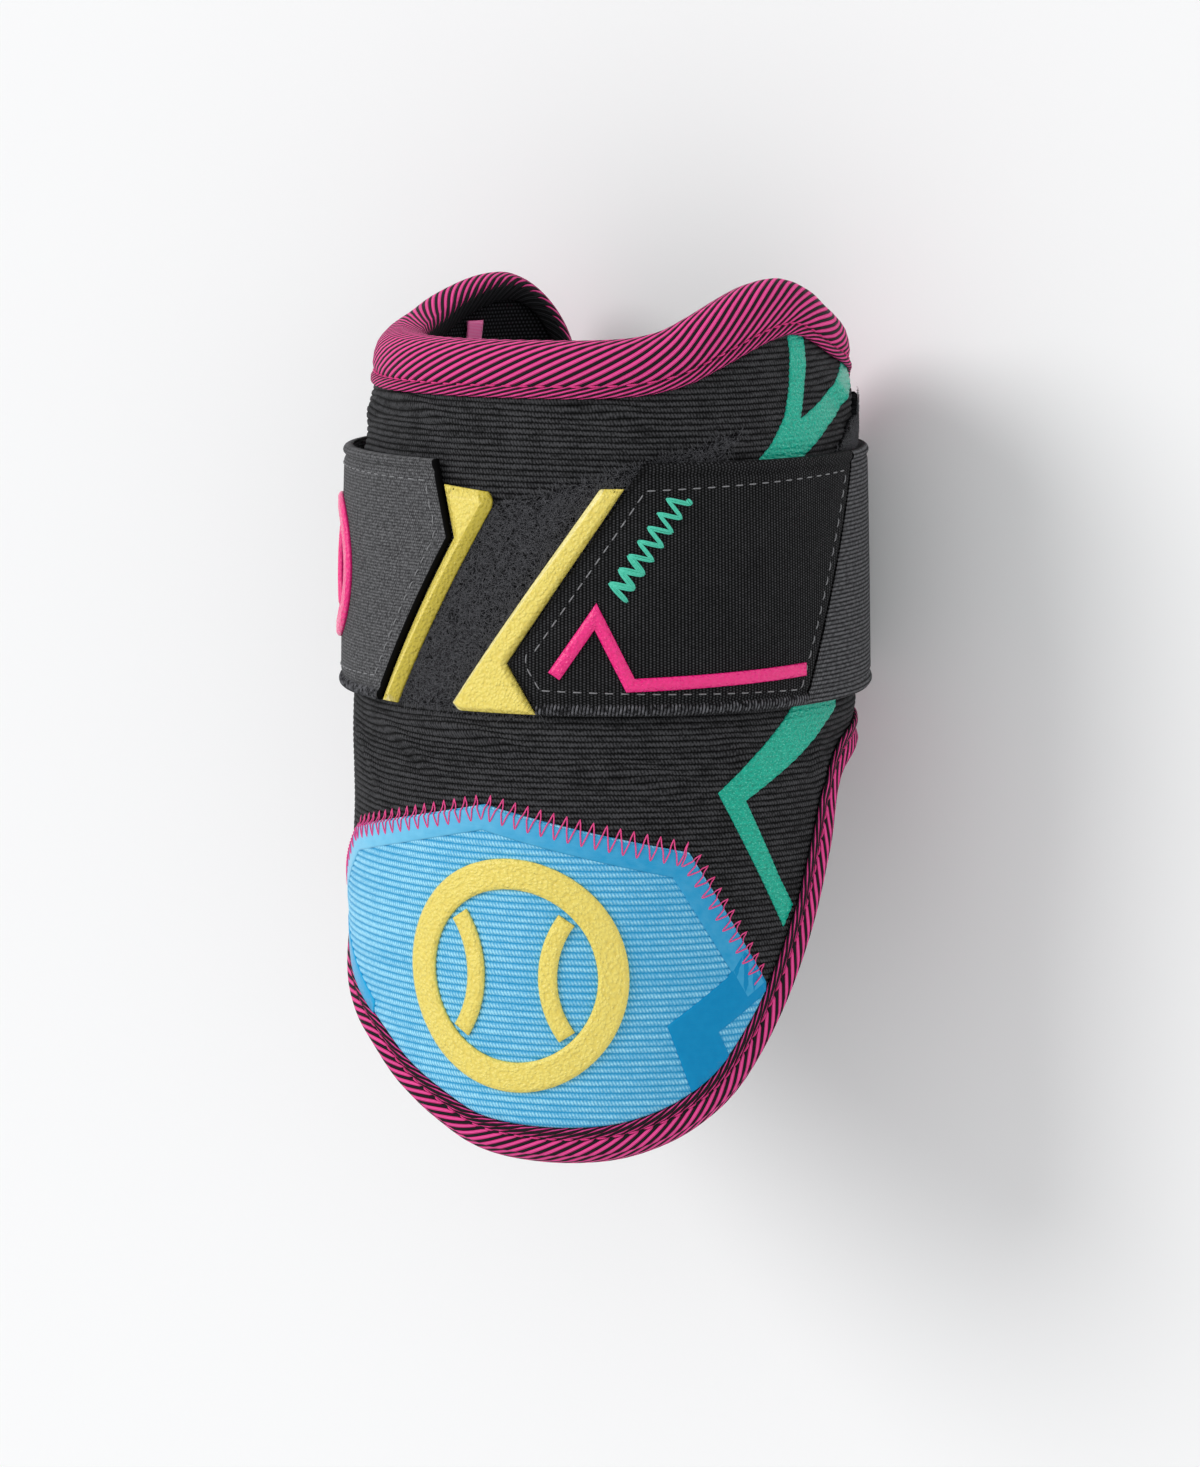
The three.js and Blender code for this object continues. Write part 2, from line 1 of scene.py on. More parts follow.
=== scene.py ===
"""The looks of a batter's elbow guard: a padded open sleeve lying on its strap.

Local sizes are in millimetres. A place on the guard is an arc (turn round the arm, as a length on
the sleeve's fullest girth), a height up the arm and a lift off the sleeve's outer face.
"""
import math

import bpy
import numpy as np
from mathutils import Matrix, Vector
from mathutils.geometry import delaunay_2d_cdt


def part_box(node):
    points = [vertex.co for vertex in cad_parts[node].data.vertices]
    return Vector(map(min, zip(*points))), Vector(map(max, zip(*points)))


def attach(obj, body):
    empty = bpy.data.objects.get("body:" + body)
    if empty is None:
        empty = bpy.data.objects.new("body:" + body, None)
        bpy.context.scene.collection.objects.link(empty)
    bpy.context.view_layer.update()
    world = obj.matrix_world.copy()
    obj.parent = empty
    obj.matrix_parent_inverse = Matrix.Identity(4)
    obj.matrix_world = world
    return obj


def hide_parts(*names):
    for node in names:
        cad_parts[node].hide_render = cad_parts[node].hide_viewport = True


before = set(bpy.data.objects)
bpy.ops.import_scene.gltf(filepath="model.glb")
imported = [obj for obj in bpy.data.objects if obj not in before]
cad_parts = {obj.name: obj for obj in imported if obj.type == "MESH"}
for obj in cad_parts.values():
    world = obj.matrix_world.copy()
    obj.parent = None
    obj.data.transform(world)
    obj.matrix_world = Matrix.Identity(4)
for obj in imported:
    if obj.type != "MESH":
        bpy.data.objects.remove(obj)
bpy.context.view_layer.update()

MM = 0.001

# The sleeve's sizes come from its solid, and the shares are those of the solid.
SLEEVE_BOX = [np.array(corner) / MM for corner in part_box("padded_sleeve")]
STRAP_BOX = [np.array(corner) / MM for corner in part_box("strap_elastic")]
DEPTH_SHARE = 59 / 60
RIM_SHARE = 92 / 199.5
PEAK_SHARE = 13 / 199.5
TONGUE_SHARE = 94.5 / 199.5
LENGTH = SLEEVE_BOX[1][1] - SLEEVE_BOX[0][1]
HALF_WIDTH = (SLEEVE_BOX[1][0] - SLEEVE_BOX[0][0]) / 2
HALF_DEPTH = HALF_WIDTH * DEPTH_SHARE
RIM_HEIGHT = LENGTH * RIM_SHARE
FLAP_PEAK = LENGTH * PEAK_SHARE
TONGUE_DROP = LENGTH * TONGUE_SHARE
AXIS = np.array([
    (SLEEVE_BOX[0][0] + SLEEVE_BOX[1][0]) / 2,
    SLEEVE_BOX[0][1] + TONGUE_DROP,
    SLEEVE_BOX[1][2] - HALF_DEPTH,
])
STRAP_LOW = STRAP_BOX[0][1] - AXIS[1]
STRAP_TOP = STRAP_BOX[1][1] - AXIS[1]

# Turn of the flaps' borders, radii of the corners, and walls, widths and gaps.
FLAP_TURN = 145
RIM_CORNER = 26
HEM_CORNER = 14
SLEEVE_WALL = 6
LINING_WALL = 1.2
TAPE_WALL = 1.2
TAPE_TOP_WIDTH = 12
TAPE_LOW_WIDTH = 8.5
TAPE_INSIDE_WIDTH = 5
TAPE_GAP = 0.5
GAP = 0.35
PATCH_APEX = 12.2
PATCH_SHOULDER = 22.5
LOOP_WALL = 1.1
LOOP_TOP = 72
STRAP_WALL = 1.9
STRAP_LIFT = GAP + TAPE_GAP + TAPE_WALL
TAB_WALL = 2.2
MOULDING_HEIGHT = 1.2

# How far the cloth is drawn in, all over and under the strap, and how far the collar leans in on its
# left and the hem by the flaps.
SNUG = 0.7
STRAP_SNUG = 1.1
COLLAR_LEAN = 3.6
HEM_LEAN = 2.2

# Ribs of the two cloths: spacing and height, and the rows of points that draw one rib.
SLEEVE_RIB = (1.35, 0.3)
PATCH_RIB = (1.55, 0.3)
RIB_ROWS = 4

# A grid this large, as points times border points, isn't cleared of points near its border.
LARGE_GRID = 2e7

# Girth: share of the way up to the rim, or below 0 down to the tongue's tip, and share of the fullest.
GIRTH = [
    (-1.15, 0.93), (-0.9, 0.97), (-0.5, 1), (0, 0.995), (0.65, 0.975), (0.85, 0.955), (1, 0.92), (1.2, 0.89),
]
# Rim and hem: turn, and share of the flaps' peak or of the tongue's drop.
RIM = [
    (-145, 0.78), (-116, 0.84), (-100, 0.58), (-86, 0.25), (-65, 0.05), (-37, 0), (10, 0), (32, 0.03),
    (42, 0.16), (50, 0.4), (61, 0.73), (70, 0.93), (79, 1), (88, 0.87), (101, 0.5), (120, 0.2), (145, 0.1),
]
HEM = [
    (-145, 0.05), (-128, 0.08), (-112, 0.15), (-98, 0.27), (-85, 0.42), (-72, 0.56), (-60, 0.67),
    (-49, 0.735), (-38, 0.79), (-27, 0.865), (-15, 0.93), (-4, 0.98), (11, 1), (27, 0.995), (38, 0.97),
    (49, 0.92), (59, 0.84), (68, 0.715), (75, 0.59), (82, 0.44), (88, 0.28), (94, 0.155), (102, 0.1),
    (120, 0.07), (145, 0.05),
]

# Borders of the strap's pieces and tabs: share of the way from its lower edge to its upper, and turn.
RIGHT_END = [(0, 13.5), (0.2, 6.9), (1, 36)]
RIGHT_SEAM = [(0, 75), (1, 97)]
LEFT_END = [(0, -30), (0.69, -7.6), (1, -11.8)]
LEFT_SEAM = [(0, -92), (1, -84)]
RIGHT_TAB = [(0.9, 26.5), (0.03, -6.8), (0, -5.2)]
LEFT_TAB = [(0, -24), (0.84, 3), (0.88, 1.4)]
TAB_TOP = 0.9
STRAP_LINE = [(0.16, 17), (0.4, 25.6), (0.125, 32.8), (0.15, 74.5)]
LINE_BAR = 3

# Outlines of the loop fabric: turn, and share of its highest point.
LOOP_FRONT = [(-28, 0.13), (50, 0.13), (50, 0.85), (59, 1), (-28, 0.64)]
LOOP_SIDE = [(86, 0.28), (122, 0.28), (119, 1.08), (80, 0.82)]
# Outlines of the foils: turn and height.
FOIL_UPPER = [
    (60.5, 62), (72, 62), (80, 66), (90, 71.5), (101, 76), (113, 80), (121, 85), (121, 92), (110, 87),
    (99, 82.5), (87.5, 77.5), (78, 74), (80, 79), (82.5, 85), (84.6, 94.5), (77.6, 93), (77.2, 89),
    (75.6, 82), (72.6, 75), (67.5, 68.5),
]
FOIL_LOWER = [
    (77.5, 12), (92.5, 12), (91.9, 7.1), (60, -11.8), (69.9, -30.7), (74, -37.2), (71, -42), (53, -9.7),
]
# The patch's upper border: turn, and share of the height of its shoulders below the arm's zero.
PATCH_BORDER = [(-88, -2.5), (-46, -1), (0, -PATCH_APEX / PATCH_SHOULDER), (46, -1), (82, -3.6)]

# The tape: how far its line lies in from the sleeve's edge and its seam in from its border, and which
# point of its section the seam is.
TAPE_IN = 1.1
TAPE_SEAM = 2.5
SEAM_POINT = 5
STRIPE_STEP = 3.9
STRIPE_SLANT = math.tan(math.radians(65.5))
SEAM_SLANT = math.tan(math.radians(76))

# Threads: radius, and the length, spacing, rise and dip of stitches.
TAPE_THREAD = 0.22
ZIGZAG_THREAD = 0.17
STRAP_THREAD = 0.16
COIL_THREAD = 0.3
TACK_THREAD = 0.23
STITCH = 2.6
STITCH_STEP = 3.4
STITCH_RISE = 0.22
STITCH_DIP = 0.25
ZIGZAG_STEP = 3.15
ZIGZAG_OUT = 2.4
ZIGZAG_IN = 3.6
COIL_STEP = 0.8

# How far the strap ends' stitches lie in from their lower, upper and free borders and from their seam.
COIL_MARGIN = 3.9
WELT_MARGIN = 4.1
FREE_MARGIN = 3.4
SEAM_MARGIN = 3

# The teal seam: turn and height of its lowest left tip, and its steps as arcs and heights.
TACK_START = (28.4, 39.1)
TACK_UP = np.array([2.11, 3.12])
TACK_ACROSS = np.array([5.6, -1.4])

# Trims: the patch's face, the label's width and its shift, and the fibres of the loop fabric.
PATCH_FACE = 1.15
LABEL_WIDTH = 7
LABEL_ASIDE = 4
LABEL_DROP = 3
FIBRE_WIDTH = 0.07
FIBRES_TRIED = 40000
FIBRES_KEPT = 14000

# Balls: diameter and width of their bars, and turn, height and lift of the middle.
PATCH_BALL = (54, 7)
PATCH_BALL_TURN = 7
PATCH_BALL_UP = -51
PATCH_BALL_BASE = 1.35
STRAP_BALL = (34, 4.5)
STRAP_BALL_TURN = -60

# Darker and paler tones of the mouldings; the paler tone on the pebbles' tops is a painted highlight.
YELLOW = ("dcbc38", "fae878")
PINK = ("e4006c", "ff2a8c")
FLOOR_REACH = 30.0

# Camera: turn round the arm, tip towards the rim, distance, and how far its axis is off the arm's.
VIEW_TURN = 28
VIEW_TIP = 7.9
VIEW_DISTANCE = 1200
VIEW_ASIDE = -1.18
VIEW_ABOVE = -3.186
VIEW_LENS = 124.8


# Tables and places

def smooth_at(rows, place):
    """Smooth value of a two-column table at places between its rows."""
    keys, values = np.array(rows, float).T
    place = np.clip(place, keys[0], keys[-1])
    i = np.clip(np.searchsorted(keys, place) - 1, 0, len(keys) - 2)
    before, after = np.maximum(i - 1, 0), np.minimum(i + 2, len(keys) - 1)
    width = keys[i + 1] - keys[i]
    t = (place - keys[i]) / width
    start = (values[i + 1] - values[before]) / (keys[i + 1] - keys[before]) * width
    end = (values[after] - values[i]) / (keys[after] - keys[i]) * width
    return (
        values[i] * (2 * t**3 - 3 * t**2 + 1) + start * (t**3 - 2 * t**2 + t)
        + values[i + 1] * (3 * t**2 - 2 * t**3) + end * (t**3 - t**2)
    )


def line_at(rows, place):
    keys, values = np.array(rows, float).T
    return np.interp(place, keys, values)


def arc_of(turn):
    return np.radians(turn) * HALF_WIDTH


def turn_of(arc):
    return np.degrees(np.asarray(arc) / HALF_WIDTH)


def smooth_step(value, low, high):
    t = np.clip((value - low) / (high - low), 0, 1)
    return t * t * (3 - 2 * t)


def corner_fall(turn, size):
    start = FLAP_TURN - turn_of(size)
    t = np.clip((np.abs(turn) - start) / (FLAP_TURN - start), 0, 1)
    return size * (1 - np.sqrt(1 - t * t))


def rim_at(turn):
    return RIM_HEIGHT + FLAP_PEAK * smooth_at(RIM, turn) - corner_fall(turn, RIM_CORNER)


def hem_at(turn):
    return corner_fall(turn, HEM_CORNER) - TONGUE_DROP * smooth_at(HEM, turn)


def girth_at(up):
    return smooth_at(GIRTH, np.where(up > 0, up / RIM_HEIGHT, up / TONGUE_DROP))


# Creases of the cloth: turn and height of both ends, width and height.
CREASES = [
    (-54, 4, -34, -14, 2.1, 1.15), (-40, 6, -12, -7, 1.8, 1.0), (-22, 5.5, 12, -1, 1.6, 0.9),
    (52, 3, 66, -6, 2.4, 0.6), (80, 3, 88, -14, 2.4, 0.7), (18, -3, 50, -10, 2.2, 0.7),
    (-62, 71, -22, 77, 1.7, 1.0), (-54, 79, -6, 72, 1.6, 0.85), (4, 80, 40, 74, 1.9, 0.75),
    (86, 84, 112, 70, 2.4, 0.9), (-110, 70, -84, 84, 2.4, 0.9), (-100, 3, -84, -16, 2.2, 0.9),
]


def creases(arc, up):
    """Low ridges of cloth that is pushed together, each with a dip below it."""
    rise = np.zeros(np.broadcast(arc, up).shape)
    for turn_a, up_a, turn_b, up_b, width, height in CREASES:
        a, b = np.array([arc_of(turn_a), up_a]), np.array([arc_of(turn_b), up_b])
        length = np.linalg.norm(b - a)
        way = (b - a) / length
        share = np.clip(((arc - a[0]) * way[0] + (up - a[1]) * way[1]) / length, 0, 1)
        bow = 0.07 * length * np.sin(math.pi * share)
        off = (up - a[1]) * way[0] - (arc - a[0]) * way[1] - bow
        dip = 0.6 * np.exp(-((off + 1.7 * width) / width) ** 2)
        rise += height * np.sin(math.pi * share) ** 0.7 * (np.exp(-(off / width) ** 2) - dip)
    return rise


def off_strap(up):
    """Distance from the strap's nearer edge, negative under the strap."""
    return np.maximum(STRAP_LOW - up, up - STRAP_TOP)


def swell(arc, up):
    """Soft rise and fall of the padded cloth, none of it under the strap."""
    off, turn = off_strap(up), turn_of(arc)
    roll = 0.5 * smooth_step(off, 0, 4) * (1 - smooth_step(off, 7, 20))
    below_tape = rim_at(turn) - TAPE_TOP_WIDTH - up
    bulge = 0.5 * np.exp(-(((below_tape - 5) / 4.5) ** 2))
    folds = 0.3 * np.sin(up / 4.6 + 1.3 * np.sin(arc / 23) + 0.6) * np.sin(arc / 31 + 1.1)
    drape = 0.5 * np.sin(arc / 27 + up / 19) * np.sin(up / 23 - arc / 57 + 2)
    pad = smooth_step(-up, 12, 30)
    lean = smooth_step(up, 52, 84) * smooth_step(-turn, 5, 62) * (1 - smooth_step(-turn, 108, 138))
    turned_in = smooth_step(np.abs(turn), 76, 100) * smooth_step(-up, -7, 3) * (1 - smooth_step(-up, 8, 26))
    loose = bulge + (1 - 0.8 * pad) * (folds + creases(arc, up)) + (1 - 0.5 * pad) * drape
    return roll + smooth_step(off, -1, 4) * loose - COLLAR_LEAN * lean - HEM_LEAN * turned_in - SNUG


def waver(arc, up):
    """How far the ribs of the cloth wander up and down the arm."""
    left = 1 - smooth_step(turn_of(arc), -75, -25)
    bent = 0.35 * np.sin(arc / 21 + up / 37) + left * 0.9 * np.sin(arc / 11 + up / 13)
    return bent + 0.9 * creases(arc, up) * smooth_step(off_strap(up), -1, 4)


def round_arm(arc, up, rise):
    """Distances across and out from the arm's middle, at a rise off the sleeve's outer face."""
    angle, girth = arc / HALF_WIDTH, girth_at(up)
    return (HALF_WIDTH * girth + rise) * np.sin(angle), (HALF_DEPTH * girth + rise) * np.cos(angle)


def on_cloth(arc, up, lift):
    """Place of a point that is lifted off the sleeve's outer face."""
    arc, up, lift = np.broadcast_arrays(np.asarray(arc, float), up, lift)
    wide, deep = round_arm(arc, up, lift + swell(arc, up))
    return AXIS + np.stack([wide, up, deep], axis=-1)


def on_ribs(arc, up, lift):
    """Like on_cloth, with the wandering of the ribs."""
    return on_cloth(arc, up + waver(arc, up), lift)


STRAP_TURN = FLAP_TURN + turn_of(TAPE_GAP + TAPE_WALL + 1.4)


def on_strap(arc, up, lift):
    """Place off the strap's inner face, which is straight between the flaps."""
    arc, up, lift = np.broadcast_arrays(np.asarray(arc, float), up, lift)
    turned = np.abs(arc / HALF_WIDTH)
    turned = np.degrees(np.minimum(turned, 2 * math.pi - turned))
    rise = STRAP_LIFT + lift - STRAP_SNUG * (1 - smooth_step(turned, 108, 132))
    wide, deep = round_arm(arc, up, rise)
    fullest = max(girth_at(STRAP_LOW), girth_at(STRAP_TOP))
    chord = (HALF_DEPTH * fullest + STRAP_LIFT) * math.cos(math.radians(180 - STRAP_TURN)) + lift
    past = deep < -chord
    wide = np.where(past, wide * chord / np.maximum(-deep, 1e-6), wide)
    return AXIS + np.stack([wide, up, np.where(past, -chord, deep)], axis=-1)


def strap_up(across):
    return STRAP_LOW + (STRAP_TOP - STRAP_LOW) * np.asarray(across)


def rib_rise(up, rib):
    """Height of ribbed cloth at a height up the arm: round crests and narrow grooves."""
    pitch, rise = rib
    part = np.mod(up / pitch, 1)
    return rise * (1 - np.abs(2 * part - 1) ** 3)


# Meshes

def add_mesh(name, points, faces, paint, nodes=(), cloth=None):
    """Piece from points in millimetres. cloth holds each point's arc, height and depth from the border."""
    mesh = bpy.data.meshes.new(name)
    mesh.from_pydata((np.asarray(points) * MM).tolist(), [], [tuple(map(int, f)) for f in faces])
    mesh.validate()
    mesh.polygons.foreach_set("use_smooth", [True] * len(mesh.polygons))
    if cloth is not None:
        places = mesh.attributes.new("cloth", "FLOAT_VECTOR", "POINT")
        places.data.foreach_set("vector", np.asarray(cloth, np.float32).ravel())
    mesh.materials.append(paint)
    piece = bpy.data.objects.new(name, mesh)
    bpy.context.scene.collection.objects.link(piece)
    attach(piece, "root")
    if nodes:
        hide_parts(*nodes)
    return piece


def unit(vectors):
    return vectors / np.linalg.norm(vectors, axis=1)[:, None]


def left_of(ways):
    """The directions, each a quarter turn to the left."""
    return np.stack([-ways[..., 1], ways[..., 0]], axis=-1)


def lengths_along(line):
    """Length of a line up to each of its points."""
    return np.concatenate([[0], np.cumsum(np.linalg.norm(np.diff(line, axis=0), axis=1))])


def points_at(line, along, at):
    """Points of a line at lengths along it."""
    return np.stack([np.interp(at, along, line[:, k]) for k in range(2)], axis=1)


def divided(outline, step):
    """A closed outline with more points along its sides."""
    outline = np.asarray(outline, float)
    made = []
    for a, b in zip(outline, np.roll(outline, -1, axis=0)):
        count = max(1, math.ceil(np.linalg.norm(b - a) / step))
        made.append(a + (b - a) * np.arange(count)[:, None] / count)
    return np.vstack(made)


def turned_left(outline):
    """The outline in the order that keeps its inside on the left."""
    x, y = np.asarray(outline, float).T
    area = (x * np.roll(y, -1) - np.roll(x, -1) * y).sum()
    return np.asarray(outline, float)[:: 1 if area > 0 else -1]


def rounded(outline, radii):
    """The outline with arcs at its corners. A radius of 0 leaves a corner sharp."""
    outline = np.asarray(outline, float)
    made = []
    for i, radius in enumerate(radii):
        corner = outline[i]
        if radius == 0:
            made.append(corner)
            continue
        into = outline[i - 1] - corner
        out = outline[(i + 1) % len(outline)] - corner
        into, out = into / np.linalg.norm(into), out / np.linalg.norm(out)
        half = math.acos(np.clip(into @ out, -1, 1)) / 2
        middle = corner + (into + out) / np.linalg.norm(into + out) * radius / math.sin(half)
        start = corner + into * radius / math.tan(half) - middle
        end = corner + out * radius / math.tan(half) - middle
        for t in np.linspace(0, 1, 7):
            spoke = start * (1 - t) + end * t
            made.append(middle + spoke / np.linalg.norm(spoke) * radius)
    return np.array(made)


def inset(outline, distance):
    """The outline moved inwards, with mitred corners."""
    into = unit(outline - np.roll(outline, 1, axis=0))
    out = unit(np.roll(outline, -1, axis=0) - outline)
    mitre = into + out
    mitre /= np.maximum(np.linalg.norm(mitre, axis=1), 1e-6)[:, None]
    cosine = np.maximum((left_of(mitre) * left_of(into)).sum(1), 0.35)
    return outline + left_of(mitre) * (distance / cosine)[:, None]


def inside(points, outline):
    x, y = points.T
    held = np.zeros(len(points), bool)
    for (ax, ay), (bx, by) in zip(outline, np.roll(outline, -1, axis=0)):
        if ay == by:
            continue
        crosses = (ay > y) != (by > y)
        held ^= crosses & (x < (bx - ax) * (y - ay) / (by - ay) + ax)
    return held


def depth_in(points, loops):
    """Distance of each point from the nearest border."""
    best = np.full(len(points), np.inf)
    for loop in loops:
        for a, b in zip(loop, np.roll(loop, -1, axis=0)):
            side = b - a
            t = np.clip((points - a) @ side / max(side @ side, 1e-9), 0, 1)
            best = np.minimum(best, np.linalg.norm(points - a - t[:, None] * side, axis=1))
    return best


def off_line(points, line):
    """Distance of each point from an open line."""
    return depth_in(points, [np.vstack([line, line[::-1]])])


def grid_over(outline, wide, tall):
    """Columns and rows of points over an outline."""
    low, high = outline.min(0), outline.max(0)
    return np.arange(low[0], high[0], wide), np.arange(low[1], high[1], tall)


def ribbed_grid(outline, wide, pitch):
    """Columns of points over an outline, and rows that follow the ribs."""
    low, high = outline.min(0), outline.max(0)
    ups = np.arange(math.floor(low[1] / pitch) * RIB_ROWS, high[1] / pitch * RIB_ROWS) * pitch / RIB_ROWS
    return np.arange(low[0], high[0], wide), ups


def cut_flat(outline, xs, ys, holes=(), insets=(), step=1.0, within=None):
    """Triangles over an outline: points, faces and depth from the border. insets add rings of points."""
    borders = [divided(turned_left(outline), step)]
    borders += [divided(turned_left(hole)[::-1], step) for hole in holes]
    loops = borders + [inset(border, d) for border in borders for d in insets]
    if within is not None:
        loops.append(within)
    grid = np.stack(np.meshgrid(xs, ys, indexing="ij"), axis=-1).reshape(-1, 2)
    low, high = borders[0].min(0), borders[0].max(0)
    grid = grid[((grid > low) & (grid < high)).all(1)]
    grid = grid[inside(grid, borders[0])]
    for border in borders[1:]:
        grid = grid[~inside(grid, border)]
    spare = max(insets, default=0) + 0.4 * min(step, xs[1] - xs[0], ys[1] - ys[0])
    if insets or len(grid) * len(borders[0]) < LARGE_GRID:
        grid = grid[depth_in(grid, borders) > spare]
    points = np.vstack([*loops, grid])
    edges, first = [], 0
    for loop in loops:
        edges += [(first + i, first + (i + 1) % len(loop)) for i in range(len(loop))]
        first += len(loop)
    found = delaunay_2d_cdt([Vector(p) for p in points], edges, [], 0, 1e-7)
    points = np.array([tuple(v) for v in found[0]])
    faces = np.array(found[2])
    middles = points[faces].mean(1)
    kept = inside(middles, borders[0])
    for border in borders[1:]:
        kept &= ~inside(middles, border)
    if within is not None:
        kept &= inside(middles, within)
    faces = faces[kept]
    used, faces = np.unique(faces, return_inverse=True)
    faces = faces.reshape(-1, 3)
    points = points[used]
    a, b, c = (points[faces[:, k]] for k in range(3))
    clockwise = (b - a)[:, 0] * (c - a)[:, 1] - (b - a)[:, 1] * (c - a)[:, 0] < 0
    faces[clockwise] = faces[clockwise][:, ::-1]
    depth = depth_in(points, borders) if insets else np.zeros(len(points))
    return points, faces, depth


def closed_body(count, faces):
    """Faces of a body between an upper and a lower copy of count points."""
    edges = np.vstack([faces[:, [0, 1]], faces[:, [1, 2]], faces[:, [2, 0]]])
    there = {tuple(edge) for edge in edges.tolist()}
    rim = [edge for edge in there if edge[::-1] not in there]
    walls = [(b, a, a + count, b + count) for a, b in rim]
    return faces.tolist() + (faces[:, ::-1] + count).tolist() + walls


def plate(name, flat, surface, top, bottom, paint, nodes=(), shaded=None):
    """Closed body over a flat cut. top(arc, up, depth) gives the lift of its upper face.

    shaded is the depth that its paint reads, where that isn't the depth from the whole border.
    """
    points, faces, depth = flat
    arc, up = points.T
    upper = surface(arc, up, top(arc, up, depth))
    lower = surface(arc, up, bottom)
    cloth = np.stack([arc, up, depth if shaded is None else shaded], axis=1)
    body, places = np.vstack([upper, lower]), np.vstack([cloth, cloth])
    return add_mesh(name, body, closed_body(len(points), faces), paint, nodes, places)


def strip(name, rows, paint, nodes=(), cloth=None, loop=False):
    """Skin over closed rows of points, with an end face at both ends, or joined into a loop."""
    count, width = rows.shape[:2]
    faces = []
    for i in range(count if loop else count - 1):
        a, b = i * width, (i + 1) % count * width
        faces += [(a + k, b + k, b + (k + 1) % width, a + (k + 1) % width) for k in range(width)]
    if not loop:
        faces += [tuple(range(width))[::-1], tuple(range((count - 1) * width, count * width))]
    return add_mesh(name, rows.reshape(-1, 3), faces, paint, nodes, cloth)


def threads(name, paths, radius, paint, sides=6):
    """Round threads along paths of points, closed at both ends, as one piece."""
    points, faces, first = [], [], 0
    angles = np.arange(sides) * 2 * math.pi / sides
    for path in paths:
        path = np.asarray(path)
        along = unit(np.gradient(path, axis=0))
        outward = path - AXIS
        outward[:, 1] = 0
        across = unit(np.cross(along, outward))
        outward = np.cross(across, along)
        ring = across[:, None] * np.cos(angles)[:, None] + outward[:, None] * np.sin(angles)[:, None]
        width = np.full(len(path), radius)
        width[[0, -1]] = radius * 0.45
        points.append((path[:, None] + ring * width[:, None, None]).reshape(-1, 3))
        for a in range(first, first + (len(path) - 1) * sides, sides):
            b = a + sides
            for k in range(sides):
                n = (k + 1) % sides
                faces.append((a + k, a + n, b + n, b + k))
        last = first + (len(path) - 1) * sides
        faces.append(tuple(range(first, first + sides))[::-1])
        faces.append(tuple(range(last, last + sides)))
        first = last + sides
    return add_mesh(name, np.vstack(points), faces, paint)


def spaced_along(line, step):
    """Points of a line of arcs and heights at equal steps, with their directions."""
    line = np.asarray(line, float)
    along = lengths_along(line)
    at = np.linspace(0, along[-1], max(2, round(along[-1] / step) + 1))
    points = points_at(line, along, at)
    return points, unit(np.gradient(points, axis=0))


def running_stitches(line, lift):
    """Paths of short stitches along a line on the strap, arched and dipping in at their ends."""
    starts, ways = spaced_along(line, STITCH_STEP)
    t = np.linspace(0, 1, 5)
    lifts = lift - STITCH_DIP + (STITCH_RISE + STITCH_DIP) * np.sin(math.pi * t) ** 0.6
    paths = []
    for start, way in zip(starts[:-1], ways[:-1]):
        spots = start + way * (t * STITCH)[:, None]
        paths.append(on_strap(*spots.T, lifts))
    return paths


# Materials

def colour(code):
    """Linear colour of a hex code."""
    parts = np.array([int(code[i:i + 2], 16) for i in (0, 2, 4)]) / 255
    return tuple(np.where(parts < 0.04045, parts / 12.92, ((parts + 0.055) / 1.055) ** 2.4)) + (1.0,)


